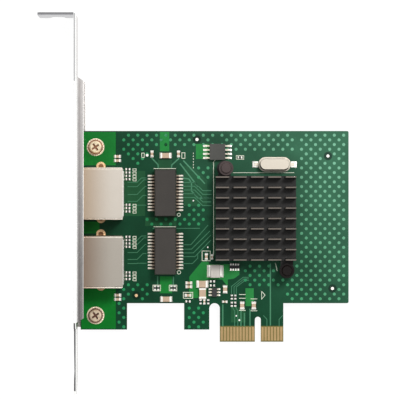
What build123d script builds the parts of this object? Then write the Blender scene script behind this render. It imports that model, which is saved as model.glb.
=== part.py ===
"""Two-port network interface card for a narrow expansion slot, in millimetres.

The card lies flat with its component side up. The origin is on the centre line of the key notch,
at the lower edge of the contact tongue and halfway through the board. +X runs along the contacts,
away from the bracket, +Y from the contacts to the top edge, and +Z up from the component side.
"""
import math
import os

from build123d import *

# Board
board_thickness = 1.57
board_left = -56.6
board_right = 29.0
board_top = 67.35
board_bottom = 12.33
tab_bottom = 3.9
left_tab_right = -41.8
middle_tab_left = -23.56
middle_tab_right = -15.5
tongue_left = -12.15
tongue_right = 8.15
key_width = 1.9
key_depth = 8.0
bevel_length = 0.4
bevel_depth = 0.3
board_corner_radius = 0.5

# Edge contacts
contact_pitch = 1.0
contact_width = 0.7
contact_top = 4.73
copper_thickness = 0.04
contacts_left_of_key = 11
contacts_right_of_key = 7
first_contact_offset = 1.5

# Bracket
sheet = 0.86
bracket_gap = 0.94
bracket_back = -2.92
bracket_width = 18.42
bracket_top = 104.48
bend_radius = 1.2
lip_depth = 3.2
lip_edge_break = 0.25
lip_top = 84.4
lip_bottom = 6.5
lip_slant = 1.5
shoulder_bottom = 4.63
flange_length = 11.4
flange_corner_radius = 1.0
tongue_width = 10.19
tongue_tip = -16.4
tongue_kink = -9.0
tongue_bow = 0.2
tongue_tip_bend = 0.35
notch_width = 4.42
notch_mouth_width = 5.7
notch_offset = 5.4
notch_centre_depth = 3.1
notch_flare_depth = 1.2
tongue_corner = 1.2
window_clearance = 0.15

# Lugs and screws that hold the board to the bracket
upper_screw_y = 62.2
lower_screw_y = 8.43
screw_x = -51.84
lug_width = 7.4
lug_reach = 9.8
lug_joggle_start = 1.9
lug_joggle_run = 1.3
lug_joggle_step = 0.3
lug_corner_radius = 1.6
collar_radius = 2.0
collar_height = 0.95
screw_radius = 1.25
screw_head_radius = 2.3
screw_head_height = 1.7
screw_length = 3.45
recess_length = 2.6
recess_width = 0.62
recess_depth = 0.9
recess_turn = 35
board_screw_hole_radius = 1.6
screw_head_bevel = 0.55
screw_head_slope = 0.77
ring_outer_radius = 2.8
thread_clearance = 0.03

# Jacks
jack_centres = (47.3, 25.7)
jack_width = 16.6
jack_lip_gap = 0.615
jack_depth = 15.5
jack_recess = 0.05
shield_sheet = 0.25
shield_corner_radius = 0.6
rear_panel_inset = 1.2
rear_panel_margin = 0.5
housing_clearance = 0.06
socket_width = 11.9
socket_floor = 2.4
socket_roof = 3.9
socket_depth = 12.6
latch_width = 6.4
latch_height = 2.0
latch_depth = 9.0
chamber_width = 9.2
chamber_top = 1.75
rear_wall = 1.3
light_width = 2.9
light_height = 2.0
light_length = 9.0
light_offset = 5.7
light_below_top = 1.9
light_clearance = 0.05
wire_count = 8
wire_pitch = 1.02
wire_width = 0.36
wire_thickness = 0.28
wire_slit_width = 0.6
wire_slit_inset = 1.5
wire_hook = 0.4
wire_hook_rise = 0.35
wire_reach = 6.2
wire_run_height = 1.0
wire_rise = 2.0
leg_width = 1.0
leg_length = 2.6
leg_from_front = 8.22
leg_hole_radius = 0.9
leg_pitch = 16.6
leg_row_offset = 0.42
post_radius = 1.55
post_hole_clearance = 0.05
post_from_front = 6.0
post_pitch = 11.43
post_length = 2.3
joint_radius = 0.62
joint_height = 0.9
joint_tip_radius = 0.28
joint_sides = 8
wire_row_step = 1.6
wire_tail_inset = 0.6
wire_front_inset = 0.5

# Magnetics modules
magnetics_centres = ((-29.5, 47.55), (-29.5, 29.0))
magnetics_width = 7.0
magnetics_length = 15.1
magnetics_height = 5.8
magnetics_standoff = 0.2
magnetics_draft = 6
magnetics_lead_count = 12
magnetics_lead_pitch = 1.0
magnetics_lead_width = 0.42
magnetics_lead_span = 10.9
magnetics_foot = 1.1
lead_thickness = 0.2

# Controller, thermal pad and heat sink
chip_x = -0.725
chip_y = 39.45
substrate_size = 23.0
substrate_height = 1.35
lid_size = 17.0
lid_height = 1.05
pad_size = 16.0
pad_thickness = 0.3
sink_width = 25.55
sink_base = 2.2
sink_height = 7.1
fin_rows = 9
fin_pitch = 3.28
fin_thickness = 0.8
fin_tip = 0.42
fin_root_depth = 0.1
fin_columns = 5
fin_slot_pitch = 5.5
fin_slot_width = 1.4
fin_slot_offset = 0.45
ear_reaches = (2.43, 3.05)
ear_offsets = (-9.45, 9.87)
ear_radius = 2.45
ear_shifts = (-0.5, 0.0)
ear_neck_width = 4.0
ear_thickness = 1.5

# Push pins
pin_radius = 1.45
pin_hole_radius = 1.6
pin_head_radius = 2.3
pin_head_height = 1.1
pin_cap_radius = 1.75
pin_cap_height = 0.7
spring_length = 3.2
spring_wire = 0.4
spring_clearance = 0.1
spring_turns = 2.5
spring_runs_a_turn = 14
barb_radius = 1.95
barb_clearance = 0.12
barb_tip_radius = 0.87
pin_cap_taper = 0.3
pin_slot_width = 0.7

# Crystal
crystal_x = 5.35
crystal_y = 56.7
crystal_base_length = 10.3
crystal_base_width = 4.5
crystal_base_height = 0.7
crystal_can_length = 9.7
crystal_can_width = 3.9
crystal_can_height = 2.9
crystal_rim = 0.35
crystal_can_bevel = 0.35
crystal_rim_height = 0.35
crystal_lead_reach = 1.2
crystal_lead_width = 0.9
crystal_lead_clearance = 0.05

# Memory chip
memory_x = -12.9
memory_y = 60.65
memory_width = 5.0
memory_length = 5.2
memory_height = 1.8
memory_standoff = 0.1
memory_draft = 5
memory_foot = 0.75
memory_lead_span = 7.9
memory_lead_count = 4
memory_pitch = 1.27
memory_lead_width = 0.42

# Power parts
inductor_x = -13.6
inductor_y = 22.55
inductor_size = 4.1
inductor_height = 2.6
inductor_terminal = 0.55
inductor_terminal_height = 1.2
inductor_terminal_width = 3.3
inductor_edge_radius = 0.3
regulator_x = -13.85
regulator_y = 15.85
regulator_width = 1.6
regulator_length = 2.9
regulator_height = 1.1
regulator_standoff = 0.05
regulator_draft = 5
regulator_lead_width = 0.4
regulator_foot = 0.35
regulator_lead_count = 3
regulator_pitch = 0.95
regulator_span = 2.9
array_x = -7.45
array_y = 23.95
array_length = 3.2
array_width = 1.6
array_height = 0.5
array_pitch = 0.8
array_elements = 4
array_end_width = 0.45
array_end_length = 0.3

# Chip parts: length, width, height and length of an end cap
large_chip = (3.2, 1.6, 1.2, 0.5)
wide_chip = (3.2, 2.1, 1.5, 0.5)
medium_chip = (2.0, 1.25, 0.8, 0.4)
small_chip = (1.6, 0.8, 0.6, 0.32)
tiny_chip = (1.1, 0.55, 0.38, 0.25)
cap_overlap = 0.03

# Places of the chip parts, level ones along X and upright ones along Y
behind_jack = 1.35
upper_row_offset = 4.65
upper_row_count = 4
lower_row_offset = -5.65
lower_row_count = 3
resistor_row_pitch = 1.06
level_resistors = ((-14.5, 19.3), (-14.5, 18.0), (-5.7, 58.9), (-22.3, 12.9))
upright_resistors = (
    (-18.3, 12.8), (-15.85, 12.8), (-8.3, 14.3), (-7.2, 14.3), (-8.3, 12.0), (-7.2, 12.0),
    (-32.85, 17.2), (-31.8, 17.2), (-27.6, 17.2), (-26.6, 17.2),
)
level_large = ((-29.45, 59.5), (-29.3, 13.65))
upright_large = ()
level_wide = ((-17.75, 18.45),)
upright_wide = ((-17.65, 15.55),)
level_medium = ()
upright_medium = ((-10.45, 16.8), (-1.3, 11.6), (-5.0, 11.6))
level_small = (
    (-22.05, 18.8), (-22.05, 17.6), (-22.3, 14.85),
    (-44.85, 59.2), (-44.85, 57.9), (-44.8, 14.9), (-44.8, 13.6),
)
upright_small = ((-33.8, 60.0), (-25.35, 60.0), (-16.45, 27.2))
level_tiny = ((-10.55, 12.8),)
upright_tiny = ((-17.1, 12.8), (-14.6, 27.1))

# Heights and faces that the sizes above fix
board_face = board_thickness / 2
board_back = -board_face
plate_inner = board_left - bracket_gap
plate_outer = plate_inner - sheet
bracket_front = bracket_back + bracket_width
jack_front = plate_outer + jack_recess
jack_back = jack_front + jack_depth
contact_face = board_face + copper_thickness
jack_seat = contact_face
jack_top = bracket_front - sheet - jack_lip_gap
socket_bottom = jack_seat + socket_floor
socket_top = jack_top - socket_roof
lid_top = board_face + substrate_height + lid_height
sink_bottom = lid_top + pad_thickness
sink_top = sink_bottom + sink_height
sink_length = fin_pitch * (fin_rows - 1) + fin_thickness
sink_left = chip_x - sink_width / 2
sink_right = chip_x + sink_width / 2
sink_lower = chip_y - sink_length / 2
sink_upper = chip_y + sink_length / 2
push_pins = (
    (chip_x + ear_offsets[0], sink_upper + ear_reaches[0]),
    (chip_x + ear_offsets[1], sink_lower - ear_reaches[1]),
)


def block(x_range, y_range, z_range):
    """A box between two values along each axis."""
    ranges = (x_range, y_range, z_range)
    sizes = [high - low for low, high in ranges]
    middles = [(high + low) / 2 for low, high in ranges]
    return Pos(*middles) * Box(*sizes)


def around(centre, size):
    """The range of a given size about a centre."""
    return (centre - size / 2, centre + size / 2)


def disc(x, y, radius, bottom, top):
    """An upright cylinder."""
    return Pos(x, y, (bottom + top) / 2) * Cylinder(radius, top - bottom)


def prism_xz(points, y_range):
    """A polygon in X and Z, carried along Y."""
    face = make_face(Polyline(*[(x, 0, z) for x, z in points], close=True))
    return Pos(0, y_range[0], 0) * extrude(face, amount=y_range[1] - y_range[0], dir=(0, 1, 0))


def prism_xy(points, z_range):
    """A polygon in X and Y, carried along Z."""
    face = make_face(Polyline(*points, close=True))
    return Pos(0, 0, z_range[0]) * extrude(face, amount=z_range[1] - z_range[0], dir=(0, 0, 1))


def strip_xz(points, thickness, y_range):
    """A bent strip of one thickness: its middle line in X and Z, its width along Y."""
    face = trace(Polyline(*points), thickness)
    strip = extrude(Plane.XZ * face, amount=y_range[1] - y_range[0])
    return Pos(0, y_range[1], 0) * strip


def save(node, *solids):
    """Write one node, as one solid or as a group of separate ones."""
    shape = solids[0] if len(solids) == 1 else Compound(children=list(solids))
    export_step(shape, f"parts/{node}.step")


# ---- Board -----------------------------------------------------------------------------------


def board_outline():
    """The board seen from above: two tabs, a contact tongue with its key notch and a relief slot."""
    outline = Pos((board_left + board_right) / 2, (board_bottom + board_top) / 2) * Rectangle(
        board_right - board_left, board_top - board_bottom
    )
    tabs = ((board_left, left_tab_right, tab_bottom), (middle_tab_left, middle_tab_right, tab_bottom))
    for left, right, bottom in tabs + ((tongue_left, tongue_right, 0),):
        height = board_bottom + board_corner_radius - bottom
        outline += Pos((left + right) / 2, bottom + height / 2) * Rectangle(right - left, height)
    slot_width = tongue_left - middle_tab_right
    slot_centre = (tongue_left + middle_tab_right) / 2
    arch_y = board_bottom - slot_width / 2
    outline += Pos(slot_centre, board_bottom - slot_width / 4) * Rectangle(slot_width, slot_width / 2)
    outline -= Pos(slot_centre, arch_y) * Circle(slot_width / 2)
    key_arch = key_depth - key_width / 2
    outline -= Pos(0, key_arch / 2) * Rectangle(key_width, key_arch)
    outline -= Pos(0, key_arch) * Circle(key_width / 2)
    return outline


def jack_post_places():
    """Where the two locating posts of each jack stand."""
    x = jack_front + post_from_front
    return [(x, centre + side * post_pitch / 2) for centre in jack_centres for side in (-1, 1)]


def jack_leg_places():
    """Where the two shield legs of each jack go through the board."""
    x = jack_front + leg_from_front
    rows = [centre + leg_row_offset for centre in jack_centres]
    return [(x, row + side * leg_pitch / 2) for row in rows for side in (-1, 1)]


def circuit_board():
    """The board with its holes and the bevel that leads the contacts into a slot."""
    board = Pos(0, 0, board_back) * extrude(board_outline(), amount=board_thickness)
    corners = board.edges().filter_by(Axis.Z).filter_by(lambda edge: edge.center().X > board_right - 1)
    board = fillet(corners, board_corner_radius)
    holes = [(screw_x, y, board_screw_hole_radius) for y in (upper_screw_y, lower_screw_y)]
    holes += [(x, y, pin_hole_radius) for x, y in push_pins]
    holes += [(x, y, leg_hole_radius) for x, y in jack_leg_places()]
    holes += [(x, y, post_radius + post_hole_clearance) for x, y in jack_post_places()]
    for x, y, radius in holes:
        board -= disc(x, y, radius, board_back - 1, board_face + 1)
    for side in (-1, 1):
        wedge_yz = [
            (-bevel_length, side * (board_face - 2 * bevel_depth)),
            (2 * bevel_length, side * (board_face + bevel_depth)),
            (-bevel_length, side * (board_face + bevel_depth)),
        ]
        wedge = make_face(Polyline(*[(tongue_left - 1, y, z) for y, z in wedge_yz], close=True))
        board -= extrude(wedge, amount=tongue_right - tongue_left + 2, dir=(1, 0, 0))
    return board


def edge_contacts():
    """The plated fingers on both faces of the tongue."""
    places = [-first_contact_offset - contact_pitch * i for i in range(contacts_left_of_key)]
    places += [first_contact_offset + contact_pitch * i for i in range(contacts_right_of_key)]
    fingers = []
    for low, high in ((board_face, contact_face), (-contact_face, board_back)):
        for x in places:
            fingers.append(block(around(x, contact_width), (bevel_length, contact_top), (low, high)))
    return fingers


def ring_pads():
    """Tinned rings round the screw holes, on the component side."""
    rings = []
    for y in (upper_screw_y, lower_screw_y):
        ring = disc(screw_x, y, ring_outer_radius, board_face, contact_face)
        rings.append(ring - disc(screw_x, y, board_screw_hole_radius, board_face - 1, contact_face + 1))
    return rings


# ---- Bracket ---------------------------------------------------------------------------------


def bracket_channel():
    """The plate between its two side lips, as one rounded channel."""
    lip_edge = plate_outer + lip_depth
    length = lip_top - shoulder_bottom
    outer = block((plate_outer, lip_edge), (shoulder_bottom, lip_top), (bracket_back, bracket_front))
    outer = fillet(outer.edges().filter_by(Axis.Y).group_by(Axis.X)[0], bend_radius)
    free_edges = outer.edges().filter_by(Axis.Y).group_by(Axis.X)[-1]
    outer = chamfer(free_edges, lip_edge_break)
    inner_z = (bracket_back + sheet, bracket_front - sheet)
    inner = block((plate_inner, lip_edge + 1), (shoulder_bottom - 1, lip_top + 1), inner_z)
    inner = fillet(inner.edges().filter_by(Axis.Y).group_by(Axis.X)[0], bend_radius - sheet)
    channel = outer - inner
    beyond = lip_edge + 1
    slope = lip_slant / (lip_edge - plate_inner)
    upper = [
        (plate_inner, lip_top),
        (beyond, lip_top - slope * (beyond - plate_inner)),
        (beyond, lip_top + length),
    ]
    channel -= prism_xy(upper, (bracket_back - 1, bracket_front + 1))
    lower = [
        (plate_inner, shoulder_bottom - 1),
        (plate_inner, lip_bottom),
        (beyond, lip_bottom + slope * (beyond - plate_inner)),
        (beyond, shoulder_bottom - 1),
    ]
    channel -= prism_xy(lower, (bracket_front - bend_radius, bracket_front + 1))
    return channel


def bracket_plate():
    """The flat plate, with the flange folded out at its top."""
    flange_end = plate_outer - flange_length
    profile = Polyline(
        (plate_inner, shoulder_bottom),
        (plate_inner, bracket_top),
        (flange_end, bracket_top),
        (flange_end, bracket_top - sheet),
        (plate_outer, bracket_top - sheet),
        (plate_outer, shoulder_bottom),
        close=True,
    )
    face = make_face(profile)
    face = fillet(face.vertices().group_by(Axis.Y)[-1].sort_by(Axis.X)[-1], bend_radius)
    inner_corner = face.vertices().filter_by(lambda v: v.X == plate_outer and v.Y > lip_top)
    face = fillet(inner_corner, bend_radius - sheet)
    plate = Pos(0, 0, bracket_back) * extrude(face, amount=bracket_width, dir=(0, 0, 1))
    corners = plate.edges().filter_by(Axis.Y).group_by(Axis.X)[0]
    plate = fillet(corners, flange_corner_radius)
    bands = (
        (bracket_back - 1, bracket_back + bend_radius),
        (bracket_front - bend_radius, bracket_front + 1),
    )
    for band in bands:
        plate -= block((plate_outer - 1, plate_inner + 1), (lip_bottom, lip_top - lip_slant), band)
    return plate


def bracket_notch():
    """The open notch that the case screw goes through, with a flared mouth."""
    x = plate_outer - notch_offset
    centre_z = bracket_back + notch_centre_depth
    y_range = (bracket_top - sheet - 1, bracket_top + 1)
    slot = block(around(x, notch_width), y_range, (bracket_back - 1, centre_z))
    slot += Pos(x, bracket_top, centre_z) * Rot(90, 0, 0) * Cylinder(notch_width / 2, 4 * sheet)
    narrow = notch_width / 2
    wide = notch_mouth_width / 2
    flare = [
        (x - wide, bracket_back - 1),
        (x + wide, bracket_back - 1),
        (x + wide, bracket_back),
        (x + narrow, bracket_back + notch_flare_depth),
        (x - narrow, bracket_back + notch_flare_depth),
        (x - wide, bracket_back),
    ]
    return slot + prism_xz(flare, y_range)


def bracket_tongue():
    """The narrow end that drops into the slot of the case, bowed a little and bent out at its tip."""
    start = shoulder_bottom + 0.5
    points = [
        (plate_inner, start),
        (plate_outer, start),
        (plate_outer, shoulder_bottom),
        (plate_outer + tongue_bow, tongue_kink),
        (plate_outer + tongue_bow - tongue_tip_bend, tongue_tip),
        (plate_inner + tongue_bow - tongue_tip_bend, tongue_tip),
        (plate_inner + tongue_bow, tongue_kink),
        (plate_inner, shoulder_bottom),
    ]
    middle = bracket_back + bracket_width / 2
    tongue = prism_xy(points, around(middle, tongue_width))
    tip_corners = tongue.edges().group_by(Axis.Y)[0].filter_by(Axis.X)
    return chamfer(tip_corners, tongue_corner)


def bracket_lug(screw_y, y_range):
    """A lug joggled from the far lip up to the back of the board, with an extruded, threaded hole."""
    start = plate_outer + bend_radius
    low = start + lug_joggle_start - bend_radius
    high = low + lug_joggle_run
    end = plate_outer + lug_reach
    profile = [
        (start, bracket_back),
        (low + lug_joggle_step, bracket_back),
        (high + lug_joggle_step, board_back - sheet),
        (end, board_back - sheet),
        (end, board_back),
        (high, board_back),
        (low, bracket_back + sheet),
        (start, bracket_back + sheet),
    ]
    lug = prism_xz(profile, y_range)
    lug = fillet(lug.edges().filter_by(Axis.Z).group_by(Axis.X)[-1], lug_corner_radius)
    lug += disc(screw_x, screw_y, collar_radius, board_back - sheet - collar_height, board_back - sheet / 2)
    hole_radius = screw_radius + thread_clearance
    return lug - disc(screw_x, screw_y, hole_radius, bracket_back - 1, board_back + 1)


def bracket():
    """The folded bracket, one sheet from flange to tongue."""
    body = bracket_plate() + bracket_channel() + bracket_tongue()
    lower_lug = (lip_bottom - 0.4, lower_screw_y + lug_width / 2)
    body += bracket_lug(upper_screw_y, around(upper_screw_y, lug_width))
    body += bracket_lug(lower_screw_y, lower_lug)
    body -= bracket_notch()
    for centre in jack_centres:
        y_range = around(centre, jack_width + 2 * window_clearance)
        z_range = (board_back, jack_top + window_clearance)
        body -= block((plate_outer - 1, plate_inner + 0.01), y_range, z_range)
    return body


def bracket_screw(y):
    """A pan-head screw with a cross recess, down through the board into a lug."""
    seat = contact_face
    top = seat + screw_head_height
    outline = Polyline(
        (0, seat - screw_length),
        (screw_radius, seat - screw_length),
        (screw_radius, seat),
        (screw_head_radius, seat),
        (screw_head_radius, top - screw_head_bevel),
        (screw_head_radius - screw_head_slope, top),
        (0, top),
        close=True,
    )
    screw = revolve(Plane.XZ * make_face(outline), Axis.Z)
    for long_x, long_y in ((recess_length, recess_width), (recess_width, recess_length)):
        screw -= block(around(0, long_x), around(0, long_y), (top - recess_depth, top + 1))
    return Pos(screw_x, y, 0) * Rot(0, 0, recess_turn) * screw


# ---- Jacks -----------------------------------------------------------------------------------


def light_windows(centre, clearance, x_range):
    """The places of the two light pipes, above the socket."""
    z_middle = jack_top - light_below_top
    windows = []
    for side in (-1, 1):
        y_range = around(centre + side * light_offset, light_width + 2 * clearance)
        windows.append(block(x_range, y_range, around(z_middle, light_height + 2 * clearance)))
    return windows


def socket_space(centre, x_end, grow=0.0):
    """The plug's space with the stepped latch channel above it, from in front of the jack to x_end."""
    start = jack_front - 1
    socket_y = around(centre, socket_width + 2 * grow)
    space = block((start, x_end), socket_y, (socket_bottom - grow, socket_top + grow))
    latch_end = min(x_end, jack_front + latch_depth)
    latch_y = around(centre, latch_width + 2 * grow)
    return space + block((start, latch_end), latch_y, (socket_top - 1, socket_top + latch_height + grow))


def jack_shield(centre):
    """A folded tin can, open underneath, with its windows, a rear panel folded over it and two legs."""
    y_range = around(centre, jack_width)
    shield = block((jack_front, jack_back), y_range, (jack_seat, jack_top))
    folds = shield.edges().filter_by(Axis.Z) + shield.edges().filter_by(Axis.X).group_by(Axis.Z)[-1]
    shield = fillet(folds, shield_corner_radius)
    inside = block(
        (jack_front + shield_sheet, jack_back - shield_sheet),
        around(centre, jack_width - 2 * shield_sheet),
        (board_face - 1, jack_top - shield_sheet),
    )
    folds = inside.edges().filter_by(Axis.Z) + inside.edges().filter_by(Axis.X).group_by(Axis.Z)[-1]
    shield -= fillet(folds, shield_corner_radius - shield_sheet)
    shield -= socket_space(centre, jack_front + 1, housing_clearance)
    for window in light_windows(centre, 2 * light_clearance, (jack_front - 1, jack_front + 1)):
        shield -= window
    panel_x = (jack_back - shield_sheet / 2, jack_back + shield_sheet)
    panel_y = around(centre, jack_width - 2 * rear_panel_inset)
    shield += block(panel_x, panel_y, (jack_seat + rear_panel_margin, jack_top - rear_panel_margin))
    leg_x = around(jack_front + leg_from_front, leg_width)
    for side in (-1, 1):
        outer = centre + side * jack_width / 2
        leg_y = sorted((outer, outer - side * shield_sheet))
        shield += block(leg_x, leg_y, (jack_seat - leg_length, jack_seat + 1))
    return shield


def jack_housing(centre):
    """The moulded block inside the shield, with its socket, wire chamber, comb and light pockets."""
    gap = shield_sheet + housing_clearance
    y_range = around(centre, jack_width - 2 * gap)
    housing = block((jack_front + gap, jack_back - gap), y_range, (jack_seat, jack_top - gap))
    edges = housing.edges().filter_by(Axis.Z) + housing.edges().filter_by(Axis.X).group_by(Axis.Z)[-1]
    housing = chamfer(edges, shield_corner_radius - shield_sheet)
    housing -= socket_space(centre, jack_front + socket_depth)
    chamber_x = (jack_front + gap + rear_wall, jack_back - gap - rear_wall)
    chamber_z = (board_face, jack_seat + chamber_top)
    housing -= block(chamber_x, around(centre, chamber_width), chamber_z)
    slit_z = (jack_seat + chamber_top - 0.1, socket_bottom + 0.1)
    for y in wire_places(centre):
        slit_x = (chamber_x[0], jack_front + socket_depth - wire_slit_inset)
        housing -= block(slit_x, around(y, wire_slit_width), slit_z)
    pocket_end = jack_front + light_length + light_clearance
    for pocket in light_windows(centre, light_clearance, (jack_front - 1, pocket_end)):
        housing -= pocket
    for x, y in jack_post_places():
        if abs(y - centre) < jack_width / 2:
            housing += disc(x, y, post_radius, jack_seat - post_length, jack_seat + 0.5)
    return housing


def wire_places(centre):
    """The eight contact wires side by side across the socket."""
    first = centre - wire_pitch * (wire_count - 1) / 2
    return [first + wire_pitch * i for i in range(wire_count)]


def jack_contacts(centre):
    """Eight spring wires: a tail on the board, a run under the floor and a slant up into the socket."""
    gap = shield_sheet + housing_clearance
    front = jack_front + gap + rear_wall + wire_front_inset
    tail = jack_back - gap - rear_wall - wire_tail_inset
    run_z = jack_seat + wire_run_height
    path = [
        (tail, board_face),
        (tail, run_z),
        (front, run_z),
        (front + wire_hook, socket_bottom + wire_hook_rise),
        (front + wire_hook + wire_reach, socket_bottom + wire_rise),
    ]
    wires = []
    for number, y in enumerate(wire_places(centre)):
        row_shift = wire_row_step * (number % 2)
        wire_path = [(path[0][0] - row_shift, path[0][1]), (path[1][0] - row_shift, path[1][1])] + path[2:]
        wires.append(strip_xz(wire_path, wire_thickness, around(y, wire_width)))
    return wires


def jack_lights(centre):
    """Two light pipes, flush with the front of the shield."""
    return light_windows(centre, 0, (jack_front, jack_front + light_length))


def solder_cone(x, y):
    """An eight-sided cone with a flat tip, hanging from the back of the board."""
    turns = [math.tau * i / joint_sides for i in range(joint_sides)]
    foot = [(x + joint_radius * math.cos(t), y + joint_radius * math.sin(t), board_back) for t in turns]
    tip_z = board_back - joint_height
    tip = [(x + joint_tip_radius * math.cos(t), y + joint_tip_radius * math.sin(t), tip_z) for t in turns]
    rings = [foot, tip]
    for i in range(joint_sides):
        after = (i + 1) % joint_sides
        rings.append([foot[i], foot[after], tip[after], tip[i]])
    return Solid(Shell([Face(Wire.make_polygon(ring)) for ring in rings]))


def jack_solder_joints():
    """The cones of solder where the contact wires come through on the back."""
    gap = shield_sheet + housing_clearance
    tail = jack_back - gap - rear_wall - wire_tail_inset
    joints = []
    for centre in jack_centres:
        for number, y in enumerate(wire_places(centre)):
            joints.append(solder_cone(tail - wire_row_step * (number % 2), y))
    return joints


# ---- Magnetics and small chips ---------------------------------------------------------------


def gull_leads(x, y, span, body_width, lead_z, count, pitch, width, foot):
    """Two rows of gull-wing leads, one down each side of a body that is long in Y."""
    leads = []
    for side in (-1, 1):
        body_side = x + side * (body_width / 2)
        knee = body_side + side * (span - body_width) / 2 - side * foot
        toe = x + side * span / 2
        sole = contact_face + lead_thickness / 2
        path = [(body_side, lead_z), (knee - side * foot * 0.4, lead_z), (knee, sole), (toe, sole)]
        for i in range(count):
            middle = y + pitch * (i - (count - 1) / 2)
            leads.append(strip_xz(path, lead_thickness, around(middle, width)))
    return leads


def drafted_body(x, y, width, length, bottom, height, draft):
    """A moulded body that tapers up and down from its parting line."""
    half = height / 2
    section = Pos(x, y, bottom + half) * Rectangle(width, length)
    upper = extrude(section, amount=half, taper=draft)
    lower = extrude(section, amount=-half, taper=draft)
    return upper + lower


def magnetics_body(centre):
    """The moulded body, just off the board."""
    x, y = centre
    bottom = board_face + magnetics_standoff
    return drafted_body(x, y, magnetics_width, magnetics_length, bottom, magnetics_height, magnetics_draft)


def magnetics_leads(centre):
    """Twelve leads a side, from the parting line of the body down to the board."""
    x, y = centre
    lead_z = board_face + magnetics_standoff + magnetics_height / 2
    return gull_leads(
        x, y, magnetics_lead_span, magnetics_width, lead_z,
        magnetics_lead_count, magnetics_lead_pitch, magnetics_lead_width, magnetics_foot,
    )


def memory_leads():
    """Four leads a side on the memory chip."""
    lead_z = board_face + memory_standoff + memory_height / 2
    return gull_leads(
        memory_x, memory_y, memory_lead_span, memory_width, lead_z,
        memory_lead_count, memory_pitch, memory_lead_width, memory_foot,
    )


def regulator_leads():
    """Three leads a side on the regulator."""
    lead_z = board_face + regulator_standoff + regulator_height / 2
    return gull_leads(
        regulator_x, regulator_y, regulator_span, regulator_width, lead_z,
        regulator_lead_count, regulator_pitch, regulator_lead_width, regulator_foot,
    )


# ---- Controller and heat sink ----------------------------------------------------------------


def ear_outline(x, y, inner_y):
    """A rounded ear that reaches from the base of the heat sink to a push pin."""
    ear = Pos(x, y) * Circle(ear_radius)
    ear += Pos(x, (y + inner_y) / 2) * Rectangle(ear_neck_width, abs(y - inner_y))
    return ear


def tapered_fin(y, base_top):
    """One full-width fin, thinner at its tip, with its root let into the base."""
    half_root = fin_thickness / 2
    half_tip = fin_tip / 2
    profile = [
        (sink_left, y - half_root, base_top - fin_root_depth),
        (sink_left, y + half_root, base_top - fin_root_depth),
        (sink_left, y + half_root, base_top),
        (sink_left, y + half_tip, sink_top),
        (sink_left, y - half_tip, sink_top),
        (sink_left, y - half_root, base_top),
    ]
    return extrude(make_face(Polyline(*profile, close=True)), amount=sink_width, dir=(1, 0, 0))


def heat_sink():
    """A base with rows of fins, cut across into short lengths, and an ear at two opposite corners."""
    base_top = sink_bottom + sink_base
    sink = block((sink_left, sink_right), (sink_lower, sink_upper), (sink_bottom, base_top))
    slot_middle = chip_x + fin_slot_offset
    slots = [slot_middle + fin_slot_pitch * (i - (fin_columns - 2) / 2) for i in range(fin_columns - 1)]
    for row in range(fin_rows):
        y = chip_y + fin_pitch * (row - (fin_rows - 1) / 2)
        fin = tapered_fin(y, base_top)
        for x in slots:
            fin -= block(around(x, fin_slot_width), around(y, 2 * fin_thickness), (base_top, sink_top + 1))
        sink += fin
    for (x, y), shift, inner in zip(push_pins, ear_shifts, (sink_upper - 1, sink_lower + 1)):
        ear = extrude(ear_outline(x + shift, y, inner), amount=ear_thickness)
        sink += Pos(0, 0, sink_bottom) * ear
    for x, y in push_pins:
        sink -= disc(x, y, pin_hole_radius, sink_bottom - 1, sink_bottom + ear_thickness + 0.01)
    return sink


def push_pin(x, y):
    """A moulded pin: a stepped head, a shank and a split, barbed tip under the board."""
    head_bottom = sink_bottom + ear_thickness + spring_length
    head_top = head_bottom + pin_head_height
    cap_top = head_top + pin_cap_height
    barb_top = board_back - barb_clearance
    outline = Polyline(
        (0, bracket_back),
        (barb_tip_radius, bracket_back),
        (barb_radius, barb_top),
        (pin_radius, barb_top),
        (pin_radius, head_bottom),
        (pin_head_radius, head_bottom),
        (pin_head_radius, head_top),
        (pin_cap_radius, head_top),
        (pin_cap_radius - pin_cap_taper, cap_top),
        (0, cap_top),
        close=True,
    )
    pin = revolve(Plane.XZ * make_face(outline), Axis.Z)
    slot = block(around(0, pin_slot_width), around(0, 2 * barb_radius + 1), (bracket_back - 1, board_face))
    return Pos(x, y, 0) * (pin - slot)


def push_pin_spring(x, y):
    """A short coil spring between the ear and the head of its pin, its turns in short straight runs."""
    low = sink_bottom + ear_thickness
    radius = pin_radius + spring_wire / 2 + spring_clearance
    height = spring_length - spring_wire
    runs = round(spring_turns * spring_runs_a_turn)
    points = []
    for i in range(runs + 1):
        turn = math.tau * i / spring_runs_a_turn
        points.append((radius * math.cos(turn), radius * math.sin(turn), height * i / runs))
    path = Polyline(*points)
    start = Plane(origin=path @ 0, z_dir=path % 0)
    coil = sweep(start * RegularPolygon(spring_wire / 2, 4), path=path, transition=Transition.RIGHT)
    return Pos(x, y, low + spring_wire / 2) * coil


# ---- Crystal and power parts -----------------------------------------------------------------


def crystal_can():
    """The oval can with the rim that it is welded by."""
    bottom = board_face + crystal_base_height
    rim = SlotOverall(crystal_can_length + 2 * crystal_rim, crystal_can_width + 2 * crystal_rim)
    can = extrude(SlotOverall(crystal_can_length, crystal_can_width), amount=crystal_can_height)
    can = chamfer(can.edges().group_by(Axis.Z)[-1], crystal_can_bevel)
    return Pos(crystal_x, crystal_y, bottom) * (can + extrude(rim, amount=crystal_rim_height))


def crystal_base():
    """The oval plastic seat under the can, with a groove for a lead at each end."""
    outline = SlotOverall(crystal_base_length, crystal_base_width)
    base = Pos(crystal_x, crystal_y, board_face) * extrude(outline, amount=crystal_base_height)
    for side in (-1, 1):
        x = crystal_x + side * crystal_base_length / 2
        groove_y = around(crystal_y, crystal_lead_width + 2 * crystal_lead_clearance)
        groove_z = (board_face - 1, contact_face + lead_thickness)
        base -= block(around(x, 2 * crystal_lead_reach), groove_y, groove_z)
    return base


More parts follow.
